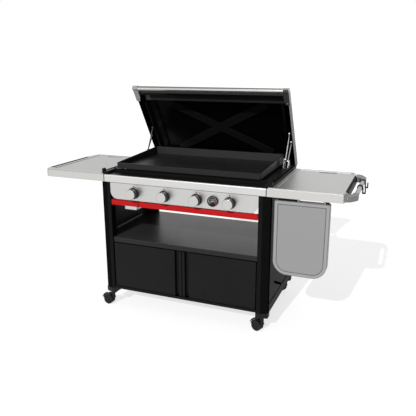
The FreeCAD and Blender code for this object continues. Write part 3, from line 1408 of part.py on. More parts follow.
# Board hinges: two hangers fixed behind the table's flange, each with a pin into the board's eye
hanger_y0 = front_y + deck_sheet + seat_gap
hanger_rear = board_axis_y + 5.0
pin_spans = [
    (hanger_spans[0][0], eye_x[0] + board_eye_width + board_pin_end),
    (eye_x[1] - board_pin_end, hanger_spans[1][1]),
]
hangers = []
for (x0, x1), (pin_x0, pin_x1) in zip(hanger_spans, pin_spans):
    hangers.append(join(
        rod((x0, board_axis_y, board_axis_z), (x1, board_axis_y, board_axis_z), board_eye_radius),
        block(x0, x1, hanger_y0, hanger_rear, board_axis_z, strip_bottom + board_hanger_rise),
        rod((pin_x0, board_axis_y, board_axis_z), (pin_x1, board_axis_y, board_axis_z), board_rod_radius),
    ))
save("board_hinges", *hangers)

# The origin comes under the middle of the whole object: the left table's end and the clips'
# tips reach furthest sideways, the knobs furthest forward and the lid's wall furthest back.
lid_back = lid_point((lid_length, lid_wall_height))[0]
middle = V((clip_tip - left_table_end) / 2.0, (cap_front + lid_back) / 2.0, floor_level)
for name, solids in finished:
    piece = solids[0] if len(solids) == 1 else Part.makeCompound(solids)
    piece.translate(-middle)
    piece.exportStep("parts/" + name + ".step")
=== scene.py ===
# %% [markdown]
# # An outdoor gas griddle on its cart
# The steel work of the griddle comes finished from the CAD model: sixty nodes on 31 bodies. Here it gets its
# paint, brushed steel and plastic, the small parts that CAD leaves out, a floor, light and a camera. Everything
# is in metres: x runs to the right, y to the rear and z upwards. The four legs stand evenly round the middle of
# the cart. All places below are measured from there, and from 10 mm under the floor.

# %% Load the frame
import json
import math

import bpy
import numpy as np
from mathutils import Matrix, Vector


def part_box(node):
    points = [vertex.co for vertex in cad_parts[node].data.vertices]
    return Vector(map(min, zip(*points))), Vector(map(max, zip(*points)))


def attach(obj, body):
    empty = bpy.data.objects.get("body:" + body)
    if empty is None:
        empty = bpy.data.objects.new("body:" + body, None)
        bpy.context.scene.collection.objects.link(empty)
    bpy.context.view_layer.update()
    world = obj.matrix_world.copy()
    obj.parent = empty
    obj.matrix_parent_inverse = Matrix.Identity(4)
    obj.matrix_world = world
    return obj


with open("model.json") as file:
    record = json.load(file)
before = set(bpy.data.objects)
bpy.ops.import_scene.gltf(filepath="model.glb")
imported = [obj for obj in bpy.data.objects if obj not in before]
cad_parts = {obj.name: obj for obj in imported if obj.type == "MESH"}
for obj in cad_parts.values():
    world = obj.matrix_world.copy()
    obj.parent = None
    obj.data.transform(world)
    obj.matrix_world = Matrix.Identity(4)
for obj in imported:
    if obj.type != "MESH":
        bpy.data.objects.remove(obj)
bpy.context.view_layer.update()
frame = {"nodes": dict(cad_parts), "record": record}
nodes = frame["nodes"]
legs_low, legs_high = (np.array(corner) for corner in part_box("legs"))
leg_foot = 0.135                      # height at which the legs begin
cart = np.array([*(legs_low + legs_high)[:2] / 2, legs_low[2] - leg_foot])
print("the cart's middle is at", cart.round(4))

# %% [markdown]
# ## The camera
# A product picture is taken with a moderate lens from a little above the worktop and to the right. The place,
# turn and lens below were solved from straight edges of known direction, so the render lines up with the
# photograph. The small shift moves the frame without turning the camera, which keeps upright edges converging
# as they do there.

# %% Camera
frame_px = 416                        # the photograph's width and height
focal_px = 512.73
lens_centre_px = (210.94, 202.01)
eye = cart + (1.21155, -2.92158, 1.5238)
turn_deg, dip_deg = 21.43, 15.06
sensor_mm = 36

camera = bpy.data.objects.new("camera", bpy.data.cameras.new("camera"))
bpy.context.scene.collection.objects.link(camera)
camera.location = eye
camera.rotation_euler = (math.radians(90 - dip_deg), 0, math.radians(turn_deg))
camera.data.sensor_width = sensor_mm
camera.data.lens = focal_px / frame_px * sensor_mm
camera.data.shift_x = (frame_px / 2 - lens_centre_px[0]) / frame_px
camera.data.shift_y = (lens_centre_px[1] - frame_px / 2) / frame_px
camera.data.clip_start, camera.data.clip_end = 0.05, 200
bpy.context.scene.camera = camera
bpy.context.scene.view_settings.view_transform = "Standard"
print("lens", round(camera.data.lens, 2), "mm")

# %% [markdown]
# ## Expressions for shader maths
# A finish is a recipe: take a noise, stretch it, soften it, add a little of it to a colour. Built by hand in
# the node editor such a recipe soon becomes a tangle, so a small class wraps a node's output and lets Python's
# own operators add the Math nodes.

# %% A socket that can be calculated with
class Value:
    """A node's output in a recipe."""

    def __init__(self, recipe, socket):
        self.recipe, self.socket = recipe, socket

    def math(self, operation, *others):
        return self.recipe.node("ShaderNodeMath", {"operation": operation}, self, *others)

    def math_after(self, first, operation):
        """The same with the value in second place, so that 1 - mask works."""
        return self.recipe.node("ShaderNodeMath", {"operation": operation}, first, self)

    def __add__(self, other): return self.math("ADD", other)
    def __radd__(self, other): return self.math_after(other, "ADD")
    def __sub__(self, other): return self.math("SUBTRACT", other)
    def __rsub__(self, other): return self.math_after(other, "SUBTRACT")
    def __mul__(self, other): return self.math("MULTIPLY", other)
    def __rmul__(self, other): return self.math_after(other, "MULTIPLY")
    def __truediv__(self, other): return self.math("DIVIDE", other)
    def __rtruediv__(self, other): return self.math_after(other, "DIVIDE")
    def __pow__(self, other): return self.math("POWER", other)
    def __abs__(self): return self.math("ABSOLUTE")

# %% [markdown]
# ## A recipe of nodes
# Any other node comes from one method that takes its type, its settings and what goes into its sockets. The
# settings go first, because they decide which sockets there are. Most finishes also need a value carried from
# one span to another, a band with soft borders, and a colour between two, so these have methods of their own.

# %% Recipes
class Recipe:
    """A tree of shader nodes."""

    def __init__(self, tree):
        self.tree = tree

    def connect(self, socket, value):
        """Links a value to a socket, or sets the socket to a constant. A colour gets its fourth number."""
        if isinstance(value, Value):
            self.tree.links.new(value.socket, socket)
        else:
            socket.default_value = (*value, 1) if socket.type == "RGBA" else value

    def node(self, kind, settings, *values, out=0, **named):
        """Adds a node. Values go to its sockets in order, and named ones to the sockets of their names."""
        node = self.tree.nodes.new(kind)
        for key, value in settings.items():
            setattr(node, key, value)
        for socket, value in zip([s for s in node.inputs if s.enabled], values):
            self.connect(socket, value)
        for key, value in named.items():
            self.connect(node.inputs[key.replace("_", " ")], value)
        return Value(self, node.outputs[out])

    def parts(self, vector):
        """The x, y and z of a vector, as three values."""
        apart = self.node("ShaderNodeSeparateXYZ", {}, vector)
        return [Value(self, socket) for socket in apart.socket.node.outputs]

    def between(self, value, low, high, to_low=0.0, to_high=1.0):
        """Maps a value from one span to another, held at the ends. Low may be the larger number."""
        return self.node("ShaderNodeMapRange", {}, value, low, high, to_low, to_high)

    def within(self, value, low, high, soft=0.0005):
        """One between low and high, and nothing outside, with a soft border."""
        return self.between(value, low - soft, low) * self.between(value, high, high + soft, 1.0, 0.0)

    def mixed(self, factor, first, second):
        """A colour between two, by a factor over the surface."""
        return self.node("ShaderNodeMix", {"data_type": "RGBA"}, factor, first, second, out=2)

# %% [markdown]
# ## Finishes
# A material is one Principled shader and the recipe that feeds it. Its patterns read the place on the piece, as
# it is at rest, so they have their true size everywhere and stay put when a piece moves. The colour goes on in
# layers: first a mottle of two near shades, because no real surface is even, and then other colours over places
# that differ.

# %% A finish
class Finish(Recipe):
    """One material: a Principled shader, and the nodes that feed it."""

    def __init__(self, name):
        self.material = bpy.data.materials.new(name)
        self.material.use_nodes = True
        super().__init__(self.material.node_tree)
        self.shader = self.tree.nodes["Principled BSDF"]
        on_piece = self.node("ShaderNodeTexCoord", {}, out="Object")
        self.place = self.node("ShaderNodeVectorMath", {"operation": "SUBTRACT"}, on_piece, tuple(cart))
        self.x, self.y, self.z = self.parts(self.place)

    def noise(self, scale, detail, rough):
        """Noise with so many cells to the metre, one number or three: large ones make it fine that way."""
        scale = (scale,) * 3 if isinstance(scale, (int, float)) else scale
        stretched = self.node("ShaderNodeMapping", {}, self.place, Scale=scale)
        return self.node("ShaderNodeTexNoise", {}, Vector=stretched, Scale=1.0, Detail=detail, Roughness=rough)

    def feed(self, **sockets):
        """Sets the shader's sockets: constants stay on the socket, what varies is linked."""
        for key, value in sockets.items():
            self.connect(self.shader.inputs[key.replace("_", " ")], value)

    def paint(self, tint):
        """Makes this the colour of the piece, which later layers cover."""
        self.tint = tint
        self.feed(Base_Color=tint)

    def mottle(self, pattern, first, second, low=0.35, high=0.65):
        """Paints from the first colour to the second as the pattern rises from low to high."""
        self.paint(self.mixed(self.between(pattern, low, high), first, second))

    def cover(self, place, colour):
        """Paints a colour over the last one, by as much as place says."""
        self.paint(self.mixed(place, self.tint, colour))

    def roughen(self, pattern, smooth, rough, low=0.3, high=0.7):
        """Makes the surface rougher, from smooth to rough, as the pattern rises from low to high."""
        self.feed(Roughness=self.between(pattern, low, high, smooth, rough))

    def bump(self, height, depth):
        """Bumps of the given depth in metres from a height between 0 and 1."""
        self.feed(Normal=self.node("ShaderNodeBump", {}, Height=height, Distance=depth, Strength=1.0))

# %% [markdown]
# ## Black powder coat
# Legs, side sheets, doors, base and frame are mild steel sheet, sprayed with dry powder and baked. Baked powder
# is never quite level: it has a fine orange peel a millimetre or two across, and it is a little duller where it
# lies thicker. A plain dark colour would look like card, so the noise goes into roughness and bump, and hardly
# into the colour.

# %% Powder coats
def powder_coat(name, colour, lighter, dull, shine=0.10, peel=0.00004):
    finish = Finish(name)
    cloud = finish.noise(7.0, 4.0, 0.55)
    grain = finish.noise(1500.0, 2.0, 0.6)
    orange_peel = finish.noise(420.0, 2.0, 0.5)
    finish.mottle(cloud * 0.7 + grain * 0.3, colour, lighter)
    finish.roughen(cloud * 0.5 + grain * 0.5, dull - 0.04, dull + 0.05)
    finish.bump(orange_peel * 0.8 + grain * 0.2, peel)
    finish.feed(Specular_IOR_Level=shine)
    return finish


deep_black = (0.0055, 0.0055, 0.0057), (0.0075, 0.0075, 0.0077)
pale_black = (0.0070, 0.0070, 0.0072), (0.0090, 0.0090, 0.0092)
painted_black = powder_coat("black powder coat", *deep_black, 0.42)
door_black = powder_coat("door powder coat", *pale_black, 0.46, 0.11)
shelf_black = powder_coat("shelf powder coat", (0.032, 0.032, 0.033), (0.038, 0.038, 0.039), 0.30, 0.24, 0.00002)
side_black = powder_coat("side sheet powder coat", *deep_black, 0.42)
matt_black = powder_coat("matt side sheet coat", *pale_black, 0.50, 0.035)
leg_black = powder_coat("leg powder coat", deep_black[0], pale_black[0], 0.55, 0.0)
print("powder coats made")

# %% [markdown]
# ## Places that differ on one piece
# The shelf's front lip is painted darker than its top, the towel bar inside the left side sheet is plated, and
# each front leg has a painted highlight: a paler strip along its inner edge, for light on its inner facet. In CAD
# they are part of a larger node, and a node has one material, so each is told apart by its place. A pair of
# numbers says where its colour begins and where it is full.

# %% Lip, towel bar and highlight strips
lip_z = (0.4785, 0.4770)
towel_bar_x = (-0.5215, -0.5205)
strip_x, strip_y = (0.4920, 0.4915), (-0.3185, -0.3190)

# The lip is painted a darker black than the shelf's top.
shelf_black.cover(shelf_black.between(shelf_black.z, *lip_z), (0.0125, 0.0125, 0.0128))
side_black.cover(side_black.between(side_black.x, *towel_bar_x), (0.16, 0.16, 0.162))
# Painted highlight: each front leg's inner edge is painted paler, for light on its inner facet.
highlight_strips = leg_black.between(abs(leg_black.x), *strip_x) * leg_black.between(leg_black.y, *strip_y)
leg_black.cover(highlight_strips, (0.0125, 0.0125, 0.0127))
print("lip, towel bar and strips painted")

# %% [markdown]
# ## Brushed stainless
# The control panel and the side tables are stainless sheet with a grain: an abrasive belt leaves scratches a few
# tenths of a millimetre wide and many centimetres long, all one way. A noise stretched a hundredfold along the
# belt's direction gives them. They roughen the shine and lift the surface by a few thousandths of a millimetre.

# %% Brushed steels
def scratches(finish, along, lengthwise, crosswise, detail):
    """Noise with few cells to the metre along one axis, and many across it."""
    return finish.noise([lengthwise if axis == along else crosswise for axis in "xyz"], detail, 0.6)


def brushed(name, colour, dull, along="x", depth=0.000006, contrast=0.06):
    finish = Finish(name)
    lines = scratches(finish, along, 9, 700, 3.0) * 0.6 + scratches(finish, along, 22, 2600, 2.0) * 0.4
    cloud = finish.noise(4.0, 3.0, 0.5)
    darker = tuple(c * (1 - contrast) for c in colour)
    finish.mottle(lines, darker, colour, 0.36, 0.64)
    finish.roughen(lines * 0.8 + cloud * 0.2, dull - 0.05, dull + 0.07, 0.35, 0.65)
    finish.bump(lines, depth)
    finish.feed(Metallic=1.0)
    return finish


panel_steel = brushed("brushed panel steel", (0.575, 0.570, 0.560), 0.36)
table_steel = brushed("brushed table steel", (0.510, 0.507, 0.500), 0.40, depth=0.000003)
bar_steel = brushed("polished bar steel", (0.67, 0.655, 0.64), 0.24, contrast=0.03)
handle_steel = brushed("handle bar steel", (0.37, 0.37, 0.37), 0.32, "y", contrast=0.04)
print("brushed steels made")

# %% [markdown]
# ## Front edges
# The front faces of the tables and of the strip above the control panel are painted lighter than the flat tops, a
# painted highlight, and carry a painted reflection of the surroundings as faint slanting lines. A thin painted
# shadow parts the strip from the panel below it, where the sheet steps back. The left table's sunken top is a
# touch darker than the right one's.

# %% Highlight bands, reflection lines and the painted shadow below them
black = (0.0, 0.0, 0.0)
reflection_line_period, reflection_line_share = 0.0135, 0.07
strip_front_y, strip_foot_z = (-0.3188, -0.3192), (0.8335, 0.8345)
step_y, step_low_z, step_high_z = (-0.3180, -0.3184), 0.8310, 0.8338
table_front_y = (-0.3186, -0.3194)
sunk_z, sunk_y, left_x = (0.8802, 0.8798), (-0.3100, -0.3090), (0.1, -0.1)


def painted_reflection_lines(finish, place):
    """Painted reflection: fine slanting lines in a band, a sine of x - z, taken from the tint."""
    wave = ((finish.x - finish.z) * (2 * math.pi / reflection_line_period)).math("SINE") * 0.5 + 0.5
    finish.cover(wave * place * reflection_line_share, black)


# Painted highlight: the strip's front face is painted paler than the panel.
highlight_band = panel_steel.between(panel_steel.y, *strip_front_y) * panel_steel.between(panel_steel.z, *strip_foot_z)
panel_steel.cover(highlight_band, (0.660, 0.655, 0.645))
painted_reflection_lines(panel_steel, highlight_band)
# Painted shadow: a thin dark line under the strip, where the sheet steps back.
step_shadow = panel_steel.within(panel_steel.z, step_low_z, step_high_z) * panel_steel.between(panel_steel.y, *step_y)
panel_steel.cover(step_shadow * 0.75, (0.02, 0.02, 0.02))

sunk = table_steel.between(table_steel.z, *sunk_z) * table_steel.between(table_steel.y, *sunk_y)
table_steel.cover(sunk * table_steel.between(table_steel.x, *left_x) * 0.08, black)
# Painted highlight: the tables' front faces are painted paler than their tops.
highlight_edge = table_steel.between(table_steel.y, *table_front_y)
table_steel.cover(highlight_edge, (0.595, 0.585, 0.570))
painted_reflection_lines(table_steel, highlight_edge)
print("front edges made")

# %% [markdown]
# ## Black parts of the steel tops
# Behind its front edge the control panel's top runs under the griddle and is painted black there. The
# left table has a shallow groove by its end, painted black inside as painted shade, and the right table's end
# face is black too. The same sheet carries both finishes, so they are told apart by place: the metal share falls to
# nothing there.

# %% Blackened places
deck_y, deck_z = (-0.3080, -0.3070), (0.8700, 0.8705)
groove_x, groove_y, groove_z = (-0.9412, -0.9208), (-0.2702, 0.1302), (0.8755, 0.8812)
end_x, end_y = (0.9172, 0.9180), (-0.262, 0.175)


def blackened(finish, place, shine):
    finish.cover(place, (0.006, 0.006, 0.0062))
    finish.feed(Metallic=1.0 - place, Specular_IOR_Level=shine)


deck = panel_steel.between(panel_steel.y, *deck_y) * panel_steel.between(panel_steel.z, *deck_z)
blackened(panel_steel, deck, 0.15)
# Painted shade: the groove is painted black inside, as the shade of a deep slot.
groove_shade = table_steel.within(table_steel.x, *groove_x) * table_steel.within(table_steel.y, *groove_y)
groove_shade = groove_shade * table_steel.within(table_steel.z, *groove_z)
right_end = table_steel.between(table_steel.x, *end_x) * table_steel.within(table_steel.y, *end_y)
blackened(table_steel, groove_shade.math("MAXIMUM", right_end), 0.03)
print("blackened the deck, the groove and the end face")

# %% [markdown]
# ## Turned knob caps
# Each cap is a thin stainless pressing whose face was turned or polished as it spun, so its scratches are rings
# round its own middle. The distance from the knob's axis, taken into a noise, gives rings, and each knob has
# its own centre. The rolled edge and the side behind it are blackened.

# %% Knob caps
knob_x = (-0.304, -0.102, 0.102, 0.304)
knob_z = 0.778
rolled_edge, cap_side_y = (0.0290, 0.0296), (-0.3674, -0.3670)
rings_per_metre = 2600.0


def round_spot(finish, x, z):
    """How far to the right of a spot on the panel and above it, and the distance, the root of their squares."""
    across, upward = finish.x - x, finish.z - z
    return across, upward, (across * across + upward * upward) ** 0.5


def turned_cap(name, centre_x):
    finish = Finish(name)
    radius = round_spot(finish, centre_x, knob_z)[2]
    rings = finish.node("ShaderNodeTexNoise", {"noise_dimensions": "1D"},
                        W=radius * rings_per_metre, Scale=1.0, Detail=2.0)
    side = finish.between(radius, *rolled_edge).math("MAXIMUM", finish.between(finish.y, *cap_side_y))
    finish.mottle(rings, (0.54, 0.53, 0.515), (0.61, 0.60, 0.585))
    finish.cover(side, (0.012, 0.012, 0.012))
    finish.roughen(rings, 0.26, 0.40)
    finish.bump(rings, 0.000008)
    finish.feed(Metallic=1.0 - side, Specular_IOR_Level=0.2)
    return finish


knob_caps = [turned_cap("turned cap %d" % number, x) for number, x in enumerate(knob_x, 1)]
print("knob caps made")

# %% [markdown]
# ## Red rail
# The rail below the panel, whose left quarter pulls out with the grease tray, is an aluminium extrusion in a
# clear red. The die leaves long faint lines in it that show through the paint. Where tray and rail meet, the gap
# is too narrow for light to come out again, so the edges beside it are nearly black.

# %% Red paint
seam_x = (-0.2806, -0.2754)

red_paint = Finish("satin red")
die_lines = red_paint.noise((5, 420, 420), 2.0, 0.6)
red_grain = red_paint.noise(1200.0, 2.0, 0.6)
red_paint.mottle(die_lines, (0.50, 0.010, 0.012), (0.60, 0.014, 0.016))
red_paint.cover(red_paint.within(red_paint.x, *seam_x), (0.006, 0.003, 0.003))
red_paint.roughen(red_grain, 0.38, 0.48)
red_paint.bump(die_lines * 0.7 + red_grain * 0.3, 0.00003)
red_paint.feed(Specular_IOR_Level=0.12)
print("red paint made")

# %% [markdown]
# ## The griddle's own steel
# The plate is thick rolled steel, baked with oil until it is dark. The seasoning isn't even: it is browner and
# glossier where oil pooled, greyer where a scraper has passed. Two clouds of different size do that. The rear
# wall faces the lamp, so it gets painted light: it is painted the palest.

# %% Seasoned steel
rear_wall_y, rear_wall_z = (0.2748, 0.2758), (0.9150, 0.9160)

seasoned = Finish("seasoned steel")
pools = seasoned.noise(9.0, 5.0, 0.6)
scrapes = seasoned.noise((260, 14, 260), 3.0, 0.6)
mill = seasoned.noise(650.0, 3.0, 0.6)
seasoned.mottle(pools * 0.6 + scrapes * 0.4, (0.0062, 0.0060, 0.0058), (0.0105, 0.0102, 0.0100), 0.36, 0.64)
# Painted light: the rear wall's face is painted paler, as the lamp falls on it.
rear_wall_painted_light = seasoned.between(seasoned.y, *rear_wall_y) * seasoned.between(seasoned.z, *rear_wall_z)
seasoned.cover(rear_wall_painted_light, (0.026, 0.026, 0.026))
seasoned.roughen(pools * 0.6 + mill * 0.4, 0.36, 0.52, 0.32, 0.68)
seasoned.bump(mill * 0.7 + scrapes * 0.3, 0.00005)
seasoned.feed(Specular_IOR_Level=0.25)
print("seasoned steel made")

# %% [markdown]
# ## Enamel
# Lid and firebox are steel with a fired black glass coat, deep and nearly black. The lid's inside is darker
# than its shell. The firebox, which the lid hides when it is shut, is duller than both, like powder coat.

# %% Enamel
def enamelled(name, colour, lighter, shine):
    finish = Finish(name)
    waves = finish.noise(38.0, 2.0, 0.4)
    specks = finish.noise(1100.0, 2.0, 0.7)
    finish.mottle(specks, colour, lighter, 0.55, 0.75)
    finish.roughen(waves * 0.5 + specks * 0.5, 0.17, 0.26)
    finish.bump(waves * 0.92 + specks * 0.08, 0.00008)
    finish.feed(Specular_IOR_Level=shine)
    return finish


enamel = enamelled("black enamel", (0.0035, 0.0035, 0.0037), (0.007, 0.007, 0.0073), 0.12)
liner_enamel = enamelled("lid liner enamel", (0.0012, 0.0012, 0.0013), (0.0026, 0.0026, 0.0028), 0.05)
firebox_enamel = powder_coat("firebox enamel", (0.0050, 0.0050, 0.0053), (0.0070, 0.0070, 0.0073), 0.38)
print("enamel made")

# %% [markdown]
# ## Places on the open lid
# The lid stands open at 58 degrees. On it, a place is easier to give as the distance from the front edge along
# the lid and the height out of its opening. In the liner the crowns of the pressed ribs get painted light, a shade
# greyer, and so does the rolled gutter along the front, with a painted highlight, a bright line, at its rear
# edge. The left wall mirrors the light, which a clear coat gives, and is painted paler as painted light too. The
# bar's rear side is painted darker, as painted shade.

# %% Ribs, gutter and left wall
open_angle = math.radians(58)
lid_front_y, lid_front_z = 0.103, 1.343
ribs_along, ribs_half_x, rib_crown_out = (0.112, 0.560), (0.4365, 0.4360), (0.0905, 0.0840)
gutter_along, gutter_front_along, gutter_rear_along = (0.0900, 0.0880), (0.018, 0.046), (0.076, 0.089)
left_wall_x = (-0.440, -0.446)
bar_rear_along = (-0.0385, -0.0405)


def lid_places(finish):
    """Distance from the lid's front edge along it, and height out of its opening, as two values."""
    back, up = finish.y - lid_front_y, finish.z - lid_front_z
    along = back * math.cos(open_angle) - up * math.sin(open_angle)
    out = back * math.sin(open_angle) + up * math.cos(open_angle)
    return along, out


along, out = lid_places(liner_enamel)
inside = liner_enamel.within(along, *ribs_along, 0.004) * liner_enamel.between(abs(liner_enamel.x), *ribs_half_x)
crown_light = liner_enamel.between(out, *rib_crown_out) * inside
gutter_light = liner_enamel.between(along, *gutter_along)
gutter_front_light = liner_enamel.within(along, *gutter_front_along, 0.012) * gutter_light
gutter_rear_highlight = liner_enamel.within(along, *gutter_rear_along, 0.005) * gutter_light
left_wall_coat_and_light = liner_enamel.between(liner_enamel.x, *left_wall_x)
# Painted light: greyer rib crowns and gutter, a painted highlight at the gutter's rear edge, a paler left wall.
for place, shade in ((crown_light, (0.0078, 0.0078, 0.0080)), (gutter_light, (0.0150, 0.0150, 0.0153)),
                     (gutter_front_light, (0.0100, 0.0100, 0.0102)), (gutter_rear_highlight, (0.065, 0.065, 0.066)),
                     (left_wall_coat_and_light * (1.0 - gutter_light), (0.0080, 0.0080, 0.0082))):
    liner_enamel.cover(place, shade)
liner_enamel.feed(Coat_Weight=left_wall_coat_and_light * 0.8, Coat_Roughness=0.12)

bar_along, _ = lid_places(bar_steel)
# Painted shade: the bar's rear side is painted darker.
bar_steel.cover(bar_steel.between(bar_along, *bar_rear_along), (0.20, 0.196, 0.192))
print("liner and bar painted")

# %% [markdown]
# ## Zinc, galvanised sheet, foil and brass
# Link arms, spindles and burners are plated or bare steel with a dull grey shine, and the left pair of link arms
# is painted dark as painted shade, for the deep recess they stand in. The heat baffle and the runners are
# galvanised sheet with its frost-like spangle. The liner of the grease tray is soft foil, and the valves are brass.

# %% Small metals
def plain_metal(name, colour, darker, dull, size=180.0, depth=0.00003):
    finish = Finish(name)
    cloud = finish.noise(size, 3.0, 0.6)
    fine = finish.noise(size * 7, 2.0, 0.6)
    finish.mottle(cloud * 0.6 + fine * 0.4, darker, colour)
    finish.roughen(cloud * 0.5 + fine * 0.5, dull - 0.06, dull + 0.08)
    finish.bump(cloud * 0.4 + fine * 0.6, depth)
    finish.feed(Metallic=1.0)
    return finish


zinc = plain_metal("zinc plate", (0.50, 0.50, 0.51), (0.38, 0.38, 0.39), 0.34)
link_steel = plain_metal("link arm steel", (0.46, 0.46, 0.47), (0.36, 0.36, 0.37), 0.30)
bracket_steel = plain_metal("link bracket steel", (0.20, 0.20, 0.205), (0.14, 0.14, 0.145), 0.36)
burner_steel = plain_metal("burner steel", (0.46, 0.45, 0.43), (0.34, 0.32, 0.30), 0.42, 60.0)
brass = plain_metal("brass", (0.60, 0.43, 0.19), (0.50, 0.35, 0.14), 0.30, 400.0, 0.00001)
left_arms_x = (-0.40, -0.41)
# Painted shade: the left link arms are painted dark.
link_steel.cover(link_steel.between(link_steel.x, *left_arms_x), (0.10, 0.10, 0.102))
print("small metals made")

# %% [markdown]
# ## Spangle and creases
# Both patterns are Voronoi cells. Zinc freezes in crystals some millimetres across, each with its own grey, so
# the baffle and the runners take one shade for each cell. Foil bends along lines, so the tray's liner takes the
# distance to the cells' borders as the height of its creases.

# %% Galvanised sheet and foil
galvanised = Finish("galvanised sheet")
spangle = galvanised.node("ShaderNodeTexVoronoi", {}, Vector=galvanised.place, Scale=140.0, out="Color")
crystal = galvanised.node("ShaderNodeSeparateColor", {}, spangle)
galvanised.paint(galvanised.mixed(crystal, (0.38, 0.39, 0.40), (0.56, 0.57, 0.58)))
galvanised.roughen(crystal, 0.32, 0.50, 0.0, 1.0)
galvanised.bump(crystal, 0.00001)
galvanised.feed(Metallic=1.0)

foil = Finish("soft foil")
creases = foil.node("ShaderNodeTexVoronoi", {"feature": "DISTANCE_TO_EDGE"}, Vector=foil.place, Scale=90.0,
                    out="Distance")
foil.mottle(creases, (0.56, 0.56, 0.57), (0.68, 0.68, 0.69), 0.0, 0.3)
foil.roughen(creases, 0.38, 0.28, 0.0, 0.4)
foil.bump(foil.between(creases, 0.0, 0.35), 0.0004)
foil.feed(Metallic=1.0)
print("galvanised sheet and foil made")

# %% [markdown]
# ## Cast brackets
# The handle brackets are castings in dull grey, with the fine pebble of the mould left in the skin. The lid's
# own pair is paler, and the right one is painted dark brown on its front, with less metal share, while its outer
# side stays light.

# %% Cast grey
dark_front_x, dark_front_out = (0.400, 0.5175), (-0.0030, -0.0036)


def cast(name, colour, lighter):
    finish = Finish(name)
    pebble = finish.noise(520.0, 3.0, 0.6)
    cloud = finish.noise(25.0, 3.0, 0.5)
    finish.mottle(pebble * 0.5 + cloud * 0.5, colour, lighter)
    finish.roughen(pebble, 0.40, 0.55)
    finish.bump(pebble, 0.00008)
    finish.feed(Metallic=0.6)
    return finish


cast_grey = cast("cast grey", (0.185, 0.185, 0.184), (0.235, 0.235, 0.233))
lid_cast = cast("lid bracket grey", (0.34, 0.335, 0.33), (0.42, 0.415, 0.41))
_, lid_cast_out = lid_places(lid_cast)
dark_front = lid_cast.within(lid_cast.x, *dark_front_x) * lid_cast.between(lid_cast_out, *dark_front_out)
lid_cast.cover(dark_front, (0.040, 0.036, 0.034))
lid_cast.feed(Metallic=0.6 - dark_front * 0.5)
print("cast grey made")

# %% [markdown]
# ## Plastics and rubber
# Knobs, feet, forks and clips are moulded plastic with the fine etched grain of the mould. The wheels' treads
# are grey-black rubber.

# %% Plastics
def moulded(name, colour, lighter, dull, shine=0.2, grain=900.0, depth=0.00005):
    finish = Finish(name)
    etched = finish.noise(grain, 3.0, 0.65)
    cloud = finish.noise(30.0, 3.0, 0.5)
    finish.mottle(etched * 0.5 + cloud * 0.5, colour, lighter)
    finish.roughen(etched, dull - 0.07, dull + 0.07)
    finish.bump(etched, depth)
    finish.feed(Specular_IOR_Level=shine)
    return finish


black_plastic = moulded("black plastic", (0.0075, 0.0075, 0.0078), (0.011, 0.011, 0.0115), 0.46)
knob_plastic = moulded("knob plastic", (0.011, 0.011, 0.0115), (0.016, 0.016, 0.0165), 0.34, 0.45)
grey_plastic = moulded("grey plastic", (0.0085, 0.0085, 0.009), (0.013, 0.013, 0.0137), 0.50, 0.15)
rubber = moulded("grey rubber", (0.014, 0.014, 0.015), (0.020, 0.020, 0.021), 0.62, 0.15, 500.0, 0.00012)
needle_white = moulded("needle white", (0.50, 0.50, 0.49), (0.58, 0.58, 0.57), 0.30, 0.3, 900.0, 0.00001)
print("plastics made")

# %% [markdown]
# ## Prep board
# The folded-down board is sheet steel in silver paint with a fine sandy mottle. Its flat rim is lighter and
# more even than the panel inside, a pressed groove painted dark as painted shade parts the two, and the folded
# sides are a shade darker again.
# The distance to the board's outline, with round corners of 80 mm at the foot and 8 mm at the hinge, tells them
# apart.

# %% The distance to the board's outline
board_middle_x, board_middle_z = 0.705, 0.6075
board_half_width, board_half_height = 0.148, 0.2105
foot_corner, hinge_corner = 0.080, 0.008
corners_change_z = (0.590, 0.620)

board_silver = Finish("board silver")
corner = board_silver.between(board_silver.z, *corners_change_z, foot_corner, hinge_corner)
reach_x = abs(board_silver.x - board_middle_x) - (board_half_width - corner)
reach_z = abs(board_silver.z - board_middle_z) - (board_half_height - corner)
over_x, over_z = reach_x.math("MAXIMUM", 0.0), reach_z.math("MAXIMUM", 0.0)
inward = reach_x.math("MAXIMUM", reach_z).math("MINIMUM", 0.0)
edge = (over_x * over_x + over_z * over_z) ** 0.5 + inward - corner
print("board outline measured")

# %% [markdown]
# ## Silver paint
# The distance is nought at the outline and falls towards the middle, so one number says where each part of the
# board's face ends. Whatever lies behind the face, at the sides and at the back, has one plain shade.

# %% Silver board
side_edge, rim_edge, face_y = (-0.0034, -0.0026), (-0.0180, -0.0188), (-0.3166, -0.3162)
pressed_low, pressed_high = -0.0212, -0.0178

sand = board_silver.noise(330.0, 3.0, 0.7)
sand_fine = board_silver.noise(1400.0, 2.0, 0.6)
mottled = board_silver.between(sand * 0.7 + sand_fine * 0.3, 0.36, 0.64)
rim_tone = board_silver.mixed(mottled, (0.345, 0.345, 0.345), (0.383, 0.383, 0.383))
panel_tone = board_silver.mixed(mottled, (0.275, 0.275, 0.277), (0.375, 0.375, 0.377))
board_silver.paint(board_silver.mixed(board_silver.between(edge, *rim_edge), rim_tone, panel_tone))
# Painted shade: the pressed groove is painted dark.
board_silver.cover(board_silver.within(edge, pressed_low, pressed_high), (0.105, 0.105, 0.106))
board_silver.cover(board_silver.between(edge, *side_edge), (0.19, 0.19, 0.19))
board_silver.cover(board_silver.between(board_silver.y, *face_y), (0.30, 0.30, 0.302))
board_silver.roughen(sand, 0.42, 0.55)
board_silver.bump(sand * 0.6 + sand_fine * 0.4, 0.00008)
board_silver.feed(Metallic=0.3)
print("board silver made")

# %% [markdown]
# ## Handing out the finishes
# Every CAD node takes the finish of its slot, or one of its own where it differs from the rest of them. The
# material goes to the node's own slots, and the mesh stays as it is.

